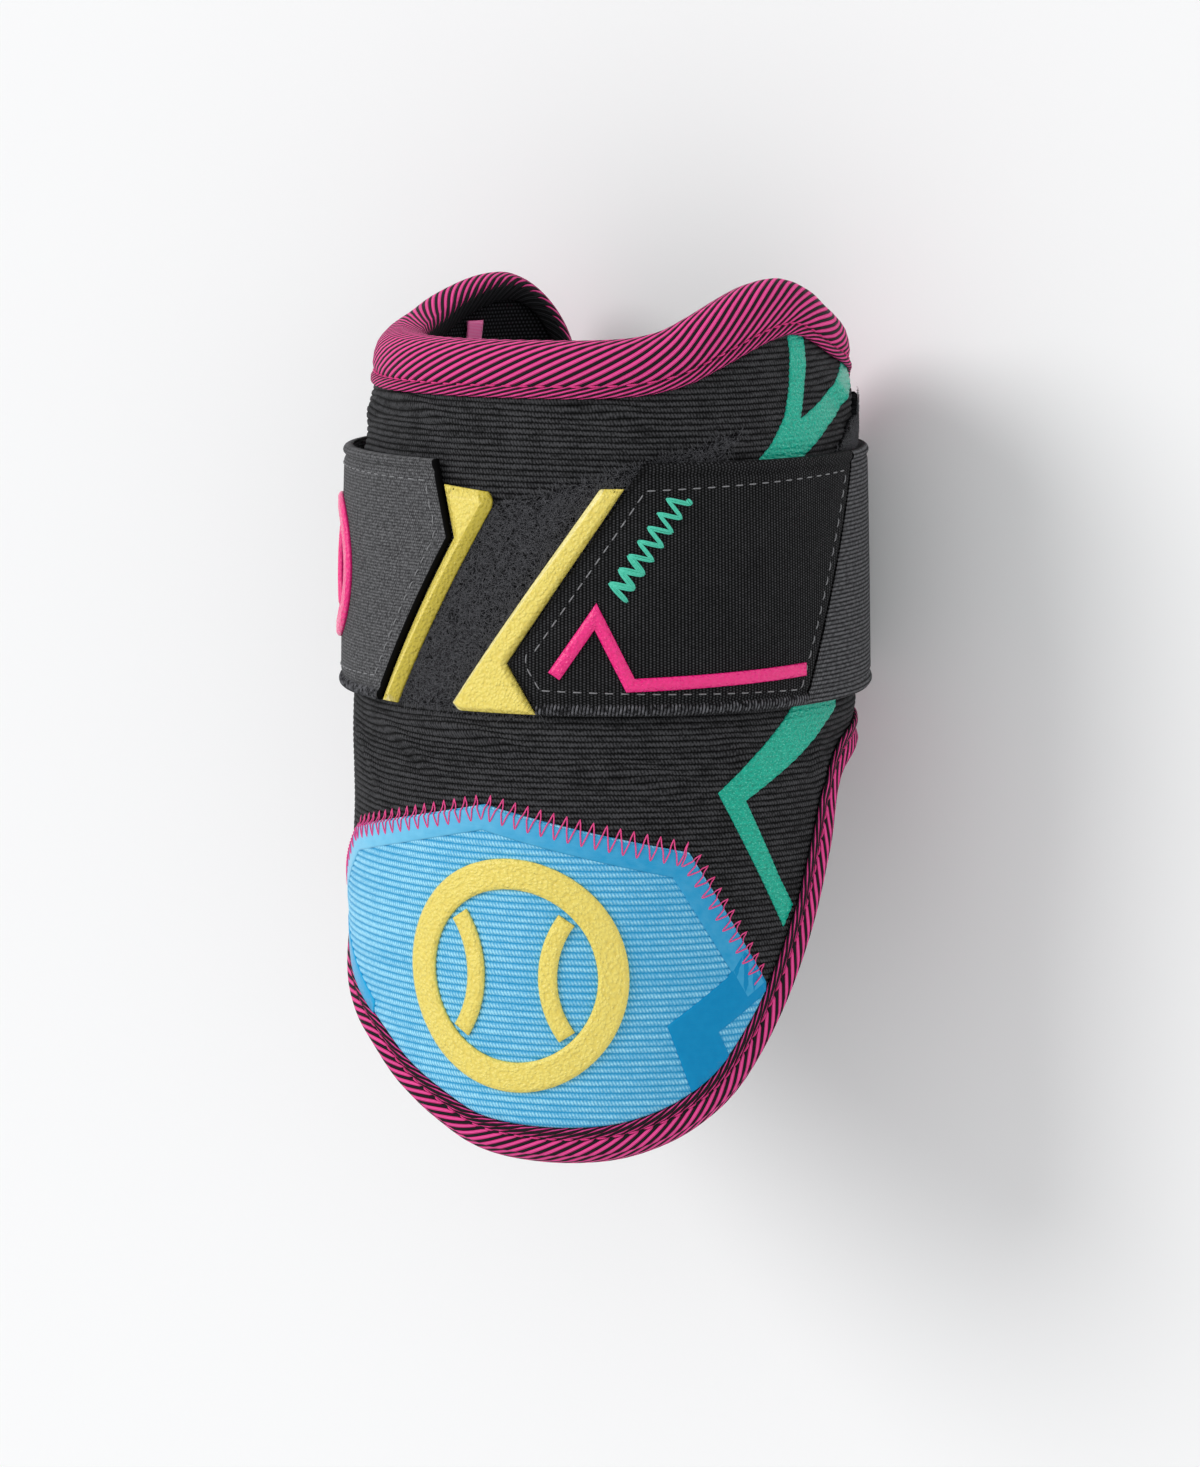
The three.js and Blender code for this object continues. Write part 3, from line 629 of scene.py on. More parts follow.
class Paint:
    """A material whose nodes are added one at a time. Inputs are sockets, numbers or hex colours."""

    def __init__(self, name, roughness, sheen=0.0, coat=0.0, specular=0.05):
        self.material = bpy.data.materials.new(name)
        self.material.use_nodes = True
        self.tree = self.material.node_tree
        self.face = self.tree.nodes["Principled BSDF"]
        for key, value in (
            ("Roughness", roughness), ("Sheen Weight", sheen), ("Sheen Roughness", 0.45),
            ("Coat Weight", coat), ("Coat Roughness", 0.25), ("Specular IOR Level", specular),
        ):
            self.face.inputs[key].default_value = value
        self.cloth = self.add("ShaderNodeAttribute", attribute_name="cloth").outputs["Vector"]
        parts = self.add("ShaderNodeSeparateXYZ")
        self.put(parts.inputs[0], self.cloth)
        self.arc, self.up, self.depth = parts.outputs

    def add(self, kind, **settings):
        node = self.tree.nodes.new(kind)
        for key, value in settings.items():
            setattr(node, key, value)
        return node

    def put(self, socket, value):
        if isinstance(value, bpy.types.NodeSocket):
            self.tree.links.new(value, socket)
        else:
            socket.default_value = colour(value) if isinstance(value, str) else value

    def math(self, operation, *values, clamp=False):
        node = self.add("ShaderNodeMath", operation=operation, use_clamp=clamp)
        for socket, value in zip(node.inputs, values):
            self.put(socket, value)
        return node.outputs[0]

    def times(self, product, *values, clamp=False):
        """Product of all the values. clamp holds it between 0 and 1 at the end."""
        for value in values[:-1]:
            product = self.math("MULTIPLY", product, value)
        return self.math("MULTIPLY", product, values[-1], clamp=clamp)

    def line(self, value, slope, start):
        """The value times a slope, plus a start."""
        return self.math("MULTIPLY_ADD", value, slope, start)

    def row(self, place, pitch):
        """Whole number of pitches up to a place."""
        return self.math("FLOOR", self.math("DIVIDE", place, pitch))

    def wave(self, place, pitch):
        """Rises and falls between 0 and 1 once a pitch."""
        return self.line(self.math("COSINE", self.times(place, 2 * math.pi / pitch)), -0.5, 0.5)

    def ridge(self, place, pitch, power=3.0):
        """Round crests between narrow grooves, one a pitch."""
        part = self.math("FRACT", self.math("DIVIDE", place, pitch))
        off = self.math("ABSOLUTE", self.line(part, 2.0, -1.0))
        return self.math("SUBTRACT", 1.0, self.math("POWER", off, power))

    def fade(self, place, low, high):
        node = self.add("ShaderNodeMapRange", interpolation_type="SMOOTHSTEP")
        for key, value in (("Value", place), ("From Min", low), ("From Max", high)):
            self.put(node.inputs[key], value)
        return node.outputs[0]

    def noise(self, size, detail=2.0, vector=None, stretch=None):
        node = self.add("ShaderNodeTexNoise")
        self.put(node.inputs["Scale"], 1 / size)
        self.put(node.inputs["Detail"], detail)
        vector = self.cloth if vector is None else vector
        if stretch:
            scaled = self.add("ShaderNodeVectorMath", operation="MULTIPLY")
            self.put(scaled.inputs[0], vector)
            self.put(scaled.inputs[1], stretch)
            vector = scaled.outputs[0]
        self.put(node.inputs["Vector"], vector)
        return node.outputs["Fac"]

    def specks(self, size, stretch=None, spread=0.2):
        """Fine noise with more contrast."""
        return self.fade(self.noise(size, 3.0, stretch=stretch), 0.5 - spread, 0.5 + spread)

    def spun(self, size, detail):
        """Noise in the object's own space, for threads, whose size is in metres."""
        return self.noise(size, detail, vector=self.add("ShaderNodeTexCoord").outputs["Object"])

    def cells(self, size):
        node = self.add("ShaderNodeTexVoronoi", feature="SMOOTH_F1")
        self.put(node.inputs["Scale"], 1 / size)
        self.put(node.inputs["Vector"], self.cloth)
        return node.outputs["Distance"]

    def mix(self, share, a, b):
        node = self.add("ShaderNodeMix", data_type="RGBA")
        for socket, value in zip((node.inputs[0], node.inputs[6], node.inputs[7]), (share, a, b)):
            self.put(socket, value)
        return node.outputs[2]

    def paint(self, value, height=None, depth=0.1):
        """Sets the colour, and the bump from a height between 0 and 1 that stands for depth in mm."""
        self.put(self.face.inputs["Base Color"], value)
        if height is not None:
            bump = self.add("ShaderNodeBump")
            bump.inputs["Strength"].default_value = 1.0
            bump.inputs["Distance"].default_value = depth * MM
            self.put(bump.inputs["Height"], height)
            self.put(self.face.inputs["Normal"], bump.outputs["Normal"])
        return self.material


def ribbed_cloth(name, groove, crest, rib, roughness, fall, rough):
    """Ribbed knit: dark grooves, fine stitches across each rib, and painted shade that darkens it to the
    right.
    """
    p = Paint(name, roughness)
    row = p.row(p.up, rib[0])
    lean = p.line(p.up, 0.45, p.times(row, 0.31))
    knit = p.wave(p.math("ADD", lean, p.arc), 0.8)
    streaks = p.specks(1.1, (0.22, 1.0, 1.0))
    grain = p.specks(0.6)
    tone = p.math("FRACT", p.times(p.math("SINE", p.times(row, 12.9898)), 437.58))
    # painted shade: the fade of arc darkens the cloth towards the right, by the share fall
    lit = p.times(
        p.ridge(p.up, rib[0], 1.5), p.line(knit, 0.9, 0.4), p.line(streaks, 0.7 * rough, 1 - 0.35 * rough),
        p.line(grain, rough, 1 - 0.5 * rough), p.line(tone, 0.3, 0.85),
        p.line(p.fade(p.arc, -30, 62), -fall, 1.0), p.line(p.noise(13), 0.9, 0.6), clamp=True,
    )
    return p.paint(p.mix(lit, groove, crest), p.line(knit, 0.7, p.times(grain, 0.6)), 0.12)


def foam_mesh():
    """Spacer mesh of the lining: staggered holes."""
    p = Paint("mesh_black", 0.9)
    pitch = 0.9
    dots = p.times(p.wave(p.line(p.row(p.up, pitch), 0.7, p.arc), 1.4), p.wave(p.up, pitch))
    return p.paint(p.mix(dots, "09090a", "3c3c40"), dots, 0.25)


def striped_tape():
    """Woven tape of pink and black cords at a slant, with fine threads across each cord."""
    p = Paint("striped_tape", 0.55)
    stripe, thread_place, share = p.arc, p.up, p.depth
    edge = p.math("ABSOLUTE", p.line(p.math("FRACT", stripe), 2.0, -1.0))
    black = p.fade(edge, p.math("SUBTRACT", share, 0.04), p.math("ADD", share, 0.04))
    cord = p.math("ABSOLUTE", p.math("SUBTRACT", edge, share))
    round_cord = p.times(p.math("MINIMUM", cord, 0.3), 3.3)
    thread = p.wave(p.line(stripe, 0.9, thread_place), 0.62)
    shade = p.times(p.line(thread, 0.5, 0.5), p.line(round_cord, 0.6, 0.4))
    inner = p.fade(share, 0.1, -0.1)
    mesh = p.times(p.wave(stripe, 0.3), p.wave(thread_place, 1.4), inner)
    shown = p.times(shade, p.line(inner, -0.6, 0.7))
    pink = p.mix(shade, "cc1264", "ff62ae")
    dark = p.mix(p.math("ADD", shown, mesh), "030304", "323235")
    return p.paint(p.mix(black, pink, dark), p.line(thread, 0.35, round_cord), 0.25)


def moulded(name, low, high, facet=0, facet_painted_light=None):
    """Moulded rubber, its pebbles painted paler on top as highlights, and a facet of painted light along one
    side.
    """
    p = Paint(name, 0.26, 0.0, 0.2, 0.4)
    cells = p.cells(0.8)
    height = p.line(p.noise(0.35), 0.3, p.math("SUBTRACT", 1.0, cells))
    # painted highlight: each pebble's top takes the paler tone, the dips between pebbles the darker one
    tone = p.mix(p.times(cells, 0.7), high, low)
    # painted light: the facet's own tone, a paler highlight on the right tab and darker shade on the left
    # tab
    if facet:
        tone = p.mix(p.fade(p.depth, facet - 0.08, facet + 0.08), facet_painted_light, tone)
    return p.paint(tone, height, 0.5)


def foil():
    """Shiny teal film with an orange-peel face and small pale glints painted into its colour."""
    p = Paint("teal_foil", 0.3, 0.0, 0.0, 0.3)
    peel = p.noise(0.8, 1.0, stretch=(0.75, 1.3, 1.0))
    painted_glint = p.fade(p.noise(0.55, stretch=(1.0, 1.6, 1.0)), 0.56, 0.68)
    # painted highlight: pale glints mixed into the foil's colour
    return p.paint(p.mix(p.times(painted_glint, 0.5), p.mix(peel, "00846e", "0accac"), "7cecd2"), peel, 0.5)


def smooth_film(name, low, high):
    """Welded smooth film over the patch's ribs, with painted light that makes it paler on the left."""
    p = Paint(name, 0.3, 0.0, 0.0, 0.12)
    haze = p.noise(2.5)
    # painted light: paler on the left and darker to the right; pale holds this painted light together with
    # the haze's random tone
    left = p.line(p.fade(p.arc, -45, 40), -0.75, 0.9)
    pale = p.math("ADD", left, p.line(haze, 0.4, -0.2), clamp=True)
    return p.paint(p.mix(pale, low, high), p.line(p.ridge(p.up, PATCH_RIB[0]), 0.35, haze), 0.08)


def loop_cloth():
    """Brushed loop fabric: a dark nap with paler fibres."""
    p = Paint("loop_black", 0.95)
    nap = p.noise(0.5, 5.0)
    shade = p.times(p.fade(nap, 0.36, 0.72), p.line(p.specks(4), 0.7, 0.5), clamp=True)
    return p.paint(p.mix(shade, "030304", "343437"), nap, 0.6)


def woven_strap():
    """Fine vertical threads, crossed by shorter ones."""
    p = Paint("woven_black", 0.7)
    pitch = 0.8
    weft = p.wave(p.line(p.row(p.arc, pitch), 0.31, p.up), 0.62)
    weave = p.math("POWER", p.times(p.ridge(p.arc, pitch, 1.0), p.line(weft, 0.85, 0.3)), 1.5)
    lit = p.times(
        weave, p.line(p.fade(p.depth, 1.0, 1.4), 0.5, 0.5), p.line(p.specks(0.7), 0.8, 0.6),
        p.line(p.noise(9), 0.7, 0.65), clamp=True,
    )
    return p.paint(p.mix(lit, "020202", "4c4c4e"), lit, 0.16)


def jersey():
    """Smooth charcoal cloth of the left strap end, finely grained, with a dark cut edge."""
    p = Paint("jersey_charcoal", 0.75)
    pitch = 0.7
    loop = p.wave(p.line(p.row(p.up, pitch), 0.33, p.arc), 0.66)
    fine = p.times(p.line(loop, 0.45, 0.55), p.line(p.ridge(p.up, pitch, 1.4), 0.5, 0.35))
    grain = p.specks(0.6, (0.6, 1.0, 1.0), 0.22)
    shade = p.times(fine, p.line(grain, 1.1, 0.4), clamp=True)
    shade = p.times(shade, p.fade(p.depth, 0.5, 0.66))
    return p.paint(p.mix(shade, "09090a", "78787a"), shade, 0.2)


def elastic():
    """Ribbed elastic: ribs along the strap and fine threads across them."""
    p = Paint("elastic_black", 0.75)
    pitch = 0.95
    thread = p.wave(p.line(p.row(p.up, pitch), 0.3, p.arc), 0.6)
    grain = p.specks(0.7, (0.5, 1.0, 1.0))
    lit = p.times(p.ridge(p.up, pitch, 1.3), p.line(thread, 0.7, 0.3), p.line(grain, 0.9, 0.6), clamp=True)
    return p.paint(p.mix(lit, "040405", "78787b"), lit, 0.2)


def edge_coil():
    """Overlocked edge: dark threads wound round the strap's border."""
    p = Paint("overlock_black", 0.65, 0.05)
    return p.paint(p.mix(p.fade(p.spun(0.0011, 2.0), 0.3, 0.7), "1c1c1e", "6c6c70"))


def thread_paint(name, low, high, roughness=0.5):
    p = Paint(name, roughness, 0.05)
    twist = p.spun(0.0004, 1.0)
    return p.paint(p.mix(twist, low, high), twist, 0.05)


def satin():
    p = Paint("satin_pink", 0.28, 0.3, 0.0, 0.5)
    p.face.inputs["Anisotropic"].default_value = 0.5
    weave = p.wave(p.up, 0.35)
    return p.paint(p.mix(weave, "ff2c94", "ff9ad0"), weave, 0.03)


# Sleeve, lining and tape

def tape_width(up):
    return TAPE_LOW_WIDTH + (TAPE_TOP_WIDTH - TAPE_LOW_WIDTH) * smooth_step(up, 0, RIM_HEIGHT * 0.7)


def edge_line(step=1.4, margin=0.0):
    """The sleeve's edge as a closed clockwise line of arcs and heights, moved in by a margin.

    It is worked out most finely at the corners of the flaps, over the turn of a bend.
    """
    bend = 30
    turns = np.concatenate([
        -FLAP_TURN + bend * (1 - np.cos(np.linspace(0, math.pi / 2, 60))),
        np.linspace(-FLAP_TURN + bend + 0.5, FLAP_TURN - bend - 0.5, 700),
        FLAP_TURN - bend * (1 - np.cos(np.linspace(math.pi / 2, 0, 60))),
    ])
    rim = np.stack([arc_of(turns), rim_at(turns)], axis=1)
    hem = np.stack([arc_of(turns), hem_at(turns)], axis=1)[::-1]
    line = np.vstack([rim, hem, rim[:1]])
    along = lengths_along(line)
    count = round(along[-1] / step)
    line = points_at(line, along, np.arange(count) * along[-1] / count)
    inwards = -left_of(unit(np.roll(line, -2, axis=0) - np.roll(line, 2, axis=0)))
    return line + inwards * margin, inwards, along[-1]


def make_sleeve():
    outline = edge_line(2.0, 3.0)[0]
    flat = cut_flat(outline, *ribbed_grid(outline, 3.2, SLEEVE_RIB[0]), step=2.0)
    # the 0.1 after the roughness is the share of painted shade towards the right
    paint = ribbed_cloth("ribbed_black", "020202", "474749", SLEEVE_RIB, 0.7, 0.1, 1.15)
    sleeve = plate(
        "sleeve", flat, on_ribs, lambda arc, up, depth: rib_rise(up, SLEEVE_RIB) - 0.1, -SLEEVE_WALL,
        paint, ["padded_sleeve"],
    )


def make_lining():
    outline = edge_line(3.0, 1.5)[0]
    flat = cut_flat(outline, *grid_over(outline, 4, 4), step=3.0)
    face = -(SLEEVE_WALL + GAP)
    lining = plate(
        "lining", flat, on_cloth, lambda arc, up, depth: np.full(len(arc), face), face - LINING_WALL,
        foam_mesh(), ["mesh_lining"],
    )


def tape_section(width):
    """Section of the folded tape: inwards distance from the edge, and lift off the outer face."""
    face = -(SLEEVE_WALL + GAP + LINING_WALL + TAPE_GAP)
    back = face - TAPE_WALL
    width = width - TAPE_IN
    middle = (TAPE_GAP + TAPE_WALL + back) / 2
    seam = width - TAPE_SEAM
    return np.array([
        (width, 0.35), (width + 0.15, 0.9), (width - 0.25, 1.5), (width - 1.2, 1.75), (seam + 0.5, 1.55),
        (seam, 1.1), (seam - 0.5, 1.55), (seam - 1.8, 2.1), (seam * 0.5, 2.3), (seam * 0.25, 2.0),
        (0.9, 1.4), (-0.4, 0.3),
        (-1.3, middle + 2.2), (-1.6, middle + 0.6), (-1.35, middle - 1.4),
        (-0.6, back + 1.2), (0.6, back + 0.1), (2.4, back - 0.15), (TAPE_INSIDE_WIDTH - 0.3, back + 0.05),
        (TAPE_INSIDE_WIDTH, face - 0.5), (TAPE_INSIDE_WIDTH - 0.2, face), (TAPE_GAP, face),
        (TAPE_GAP, 0.35), (width * 0.5, 0.35),
    ])


# Share of pink along the tape's section, at the rim and at the hem.
PINK_RIM = [0.1, 0.5, 0.56, 0.5, 0.45, 0.35, 0.52, *[0.54] * 7, 0.52, 0.48, 0.3, -0.3, *[-0.3] * 6]
PINK_HEM = [-0.1, 0.3, 0.5, 0.02, 0.55, 0.1, 0.54, *[0.54] * 7, 0.5, 0.46, 0.3, -0.3, *[-0.3] * 6]


def make_tape():
    """Striped tape folded over the edge. Its cloth places hold stripe, thread and share of pink."""
    line, inwards, length = edge_line(1.4, TAPE_IN)
    step = length / round(length / STRIPE_STEP)
    count = len(line)
    rows, places = [], []
    for i in range(count + 1):
        spot, way = line[i % count], inwards[i % count]
        section = tape_section(tape_width(spot[1]))
        at = spot + way * section[:, :1]
        rows.append(on_cloth(*at.T, section[:, 1]))
        run = lengths_along(section)
        across = run[SEAM_POINT] - run
        slant = across * np.where(across > 0, SEAM_SLANT, STRIPE_SLANT)
        rim = smooth_step(spot[1], -5, 25)
        pink = rim * np.array(PINK_RIM) + (1 - rim) * np.array(PINK_HEM)
        along = i * length / count
        places.append(np.stack([(along + slant) / step, along * 0.45 - run, pink], axis=1))
    rows, places = np.array(rows), np.array(places)
    tape = strip("tape", rows[:-1], striped_tape(), ["edge_tape"], loop=True)
    after = np.roll(places, -1, axis=1)
    corners = np.stack([places[:-1], places[1:], after[1:], after[:-1]], axis=2)
    attribute = tape.data.attributes.new("cloth", "FLOAT_VECTOR", "CORNER")
    attribute.data.foreach_set("vector", corners.astype(np.float32).ravel())

    stitches = []
    t = np.linspace(0, 1, 5)
    for i in range(0, count - 1, 3):
        ends = [i, (i + 2) % count]
        a, b = (line[k] + inwards[k] * (tape_width(line[k][1]) - TAPE_IN - TAPE_SEAM) for k in ends)
        spots = a + (b - a) * t[:, None]
        stitches.append(on_cloth(*spots.T, 1.0 + 0.45 * np.sin(math.pi * t) ** 0.6))
    thread = thread_paint("pink_thread_tape", "c42069", "f0569c")
    threads("tape_stitches", stitches, TAPE_THREAD, thread)


# Elbow patch

def patch_top(turn):
    return line_at([(t, share * PATCH_SHOULDER) for t, share in PATCH_BORDER], turn)


def tape_border():
    """The tape's inner border along the hem, from left to right."""
    line, inwards, _ = edge_line(1.4)
    hem = line[:, 1] < 0
    inner = (line + inwards * (tape_width(line[:, 1]) + 0.2)[:, None])[hem]
    return inner[np.argsort(inner[:, 0])]


def patch_outline():
    """The patch's outline, and its upper border by itself, from left to right."""
    low = tape_border()
    turns = turn_of(low[:, 0])
    held = (patch_top(turns) - low[:, 1] > 0.6) & (np.abs(turns) < 90)
    low = low[held]
    ends = turn_of(low[[0, -1], 0])
    corners = [t for t, _ in PATCH_BORDER if ends[0] < t < ends[1]]
    turns = np.array([ends[0], *corners, ends[1]])
    top = np.stack([arc_of(turns), patch_top(turns)], axis=1)
    return np.vstack([low, top[::-1]]), top


def offset_line(line, distance):
    """An open line moved sideways, to its right as it runs."""
    line = np.asarray(line, float)
    sides = -left_of(unit(np.diff(line, axis=0)))
    made = [line[0] + sides[0] * distance]
    for i in range(1, len(line) - 1):
        mitre = sides[i - 1] + sides[i]
        mitre /= np.linalg.norm(mitre)
        made.append(line[i] + mitre * distance / max(mitre @ sides[i], 0.4))
    made.append(line[-1] + sides[-1] * distance)
    return np.array(made)


def make_patch():
    outline, top = patch_outline()
    flat = cut_flat(outline, *ribbed_grid(outline, 2.4, PATCH_RIB[0]), step=0.7, insets=(0.35,))

    def top_lift(arc, up, depth):
        ribs = rib_rise(up, PATCH_RIB) * smooth_step(depth, 0.3, 0.9)
        return np.where(depth < 0.1, 0.9, PATCH_FACE) + ribs

    # the 0.45 after the roughness is the share of painted shade that darkens the patch towards the right
    blue = ribbed_cloth("sky_blue", "249cd2", "a4e4fc", PATCH_RIB, 0.42, 0.45, 0.6)
    patch = plate("patch", flat, on_cloth, top_lift, GAP - 0.2, blue, ["elbow_patch"])
    border = inset(divided(turned_left(outline), 1.5), 0.25)
    films = [make_patch_band(top, border), *make_patch_corners(border)]
    make_zigzag(top)


def film(name, outline, paint, border):
    """Smooth film a hair above the patch's ribs, cut off along the patch's border."""
    flat = cut_flat(outline, *grid_over(outline, 2.4, 1.6), step=1.2, insets=(0.4,), within=border)
    lift = PATCH_FACE + PATCH_RIB[1]
    return plate(
        name, flat, on_cloth, lambda arc, up, depth: lift + 0.02 + 0.12 * smooth_step(depth, 0, 0.4),
        lift - 0.3, paint,
    )


def make_patch_band(top, border):
    """Welded band along the patch's upper border, a little narrower in the middle."""
    outer = offset_line(top, 0.4)
    inner = offset_line(top, 6.6)
    inner[:, 1] += 1.0 * np.sin((inner[:, 0] - top[0, 0]) / (top[-1, 0] - top[0, 0]) * math.pi)
    paint = smooth_film("blue_film", "1c98cc", "7ccaec")
    return film("patch_band", np.vstack([outer, inner[::-1]]), paint, border)


# Outlines of the films at the patch's lower corners: turn and height.
PATCH_CORNERS = {
    "right": [
        (41, -61.9), (54.8, -51.7), (59, -45.5), (68, -53), (63.8, -56.9), (53, -64.2), (55.2, -68.5),
        (57, -74), (48.5, -82),
    ],
    "left": [(-62, -46), (-50, -53), (-38, -60.5), (-35.2, -62.5), (-40, -72), (-62, -62)],
}


def make_patch_corners(border):
    """Darker angular films at the lower corners of the patch, cut off along the tape."""
    paint = smooth_film("blue_film_dark", "0086be", "1ea4d8")
    made = []
    for side, spots in PATCH_CORNERS.items():
        outline = turned_left([(arc_of(t), up) for t, up in spots])
        made.append(film(f"patch_corner_{side}", outline, paint, border))
    return made


def make_zigzag(top):
    """Zigzag seam over the patch's upper border."""
    points, ways = spaced_along(top, ZIGZAG_STEP / 2)
    reach = np.where(np.arange(len(points)) % 2 == 0, ZIGZAG_OUT, -ZIGZAG_IN)
    ends = points + left_of(ways) * reach[:, None]
    border = tape_border()
    kept = ends[:, 1] > np.interp(ends[:, 0], border[:, 0], border[:, 1]) + 0.6
    t = np.linspace(0, 1, 9)
    paths = []
    for a, b, fine in zip(ends[:-1], ends[1:], kept[:-1] & kept[1:]):
        if not fine:
            continue
        spots = a + (b - a) * t[:, None]
        on_patch = smooth_step(t if a[1] > b[1] else 1 - t, 0.3, 0.5)
        lifts = 0.25 + on_patch * 1.3 + 0.3 * np.sin(math.pi * t) ** 0.5 - 0.12
        paths.append(on_cloth(*spots.T, lifts))
    paint = thread_paint("pink_thread", "d8246f", "ff6fae")
    threads("patch_zigzag", paths, ZIGZAG_THREAD, paint)


# Mouldings

# Bevels: depth from the border, and share of the moulding's height.
BEVEL = [(0, 0.45), (0.12, 0.62), (0.75, 0.95), (0.95, 0.99), (1.2, 1)]
TAB_BEVEL = [(0, 0.4), (0.1, 0.52), (0.9, 0.93), (1.1, 0.985), (1.4, 1)]
WIDE_BEVEL = [(0, 0.3), (0.1, 0.4), (1.9, 0.93), (2.2, 0.985), (2.5, 1)]


def moulding(name, outline, surface, base, paint, nodes, height=MOULDING_HEIGHT, bevel=BEVEL,
             holes=(), shade_line=None):
    """Raised moulding with a bevelled border. Its facet lies along shade_line."""
    depths, shares = np.array(bevel).T
    flat = cut_flat(outline, *grid_over(outline, 1.6, 1.6), holes, insets=tuple(depths[1:]), step=0.8)
    return plate(
        name, flat, surface, lambda arc, up, depth: base + height * np.interp(depth, depths, shares),
        base, paint, nodes, shaded=None if shade_line is None else off_line(flat[0], shade_line),
    )


def bar_outline(line, width):
    """Outline of a bar along an open line."""
    return np.vstack([offset_line(line, width / 2), offset_line(line, -width / 2)[::-1]])


def make_ball(name, middle, sizes, surface, base, paint):
    """Ring and two seam arcs of a ball."""
    radius, bar = sizes[0] / 2, sizes[1]
    angles = np.arange(96) * math.pi / 48
    spokes = np.stack([np.cos(angles), np.sin(angles)], axis=1)
    ring, hole = middle + spokes * radius, middle + spokes * (radius - bar)
    moulding(f"{name}_ring_piece", ring, surface, base, paint, [f"{name}_ring"], holes=[hole])
    seam, reach = radius * 0.86, np.linspace(-0.62, 0.62, 25)
    for side, word in ((-1, "left"), (1, "right")):
        x = middle[0] + side * (radius * 1.18 - seam * np.cos(reach))
        arc = bar_outline(np.stack([x, middle[1] + seam * np.sin(reach)], axis=1), bar * 0.62)
        moulding(f"{name}_seam_{word}_piece", arc, surface, base, paint, [f"{name}_seam_{word}"])


def make_mouldings():
    yellow = moulded("moulded_yellow", *YELLOW)
    pink = moulded("moulded_pink", *PINK)
    patch_middle = np.array([arc_of(PATCH_BALL_TURN), PATCH_BALL_UP])
    strap_middle = np.array([arc_of(STRAP_BALL_TURN), (STRAP_LOW + STRAP_TOP) / 2])
    make_ball("patch_ball", patch_middle, PATCH_BALL, on_cloth, PATCH_BALL_BASE, yellow)
    make_ball("strap_ball", strap_middle, STRAP_BALL, on_strap, STRAP_WALL, pink)
    line = bar_outline(border_spots(STRAP_LINE), LINE_BAR)
    moulding("strap_line_piece", line, on_strap, STRAP_WALL, pink, ["strap_line"])
    make_tabs()


def border_spots(rows):
    """Arcs and heights of a strap piece's border."""
    return np.array([(arc_of(turn), strap_up(across)) for across, turn in rows])


def make_tabs():
    """The two moulded tabs, each along the border of its strap end, bevelled along the other side."""
    tab_lift = GAP + LOOP_WALL + GAP - STRAP_LIFT
    # Facet tones are painted light: a painted highlight on the right tab, painted shade on the left tab's
    # facet.
    for name, side, end, outer, radii, facet, tone, bevel in (
        ("right", -1, RIGHT_END, RIGHT_TAB, {3: 1.0, 4: 0.4, 5: 1.6}, 0.9, "fff0a0", TAB_BEVEL),
        ("left", 1, LEFT_END, LEFT_TAB, {4: 3.0}, 2.2, "cdb93e", WIDE_BEVEL),
    ):
        shares = [0, *[across for across, _ in end[1:-1]], TAB_TOP]
        inner = border_spots([(a, line_at(end, a) + side * turn_of(GAP * 2)) for a in shares])
        free = border_spots(outer)
        spots = np.vstack([inner[::-side], free])
        outline = rounded(spots, [radii.get(i, 0) for i in range(len(spots))])
        paint = moulded(f"moulded_yellow_{name}", *YELLOW, facet, tone)
        moulding(f"tab_{name}_piece", turned_left(outline), on_strap, tab_lift, paint,
                 [f"tab_{name}"], TAB_WALL, bevel, shade_line=free)


# Foils and loop fabric

def make_foils():
    paint = foil()
    for name, spots in (("foil_upper", FOIL_UPPER), ("foil_lower", FOIL_LOWER)):
        outline = np.array([(arc_of(t), up) for t, up in spots])
        flat = cut_flat(outline, *ribbed_grid(outline, 1.6, SLEEVE_RIB[0]), step=0.6)
        plate(name, flat, on_ribs, lambda arc, up, depth: 0.14 + rib_rise(up, SLEEVE_RIB) * 0.8, -0.15,
              paint)


def make_loops():
    """Loop fabric on the sleeve, with a nap of loose fibres where the strap leaves it bare."""
    rng = np.random.default_rng(7)
    paint = loop_cloth()
    fibre_paint = thread_paint("loop_fibres", "08080a", "727276", 0.8)
    for name, node, rows in (
        ("loop_front", "loop_panel", LOOP_FRONT),
        ("loop_side", "loop_panel_side", LOOP_SIDE),
    ):
        outline = np.array([(arc_of(turn), share * LOOP_TOP) for turn, share in rows])
        fine = divided(turned_left(outline), 0.8)
        fine += rng.normal(0, 0.16, fine.shape)
        flat = cut_flat(fine, *grid_over(outline, 1.5, 1.5), step=2, insets=(0.5,))
        lift = rng.normal(0, 0.05, len(flat[0]))

        def top(arc, up, depth):
            return GAP + LOOP_WALL * (0.5 + 0.5 * smooth_step(depth, 0, 0.5)) + lift

        panel = plate(name, flat, on_cloth, top, 0.05, paint, [node])
        fibres = make_fibres(f"{name}_fibres", outline, rng, fibre_paint)


def end_arc(end, up):
    """Arc of a strap end's free border at a height."""
    across, turns = np.transpose(end)
    return np.interp(up, strap_up(across), arc_of(turns))


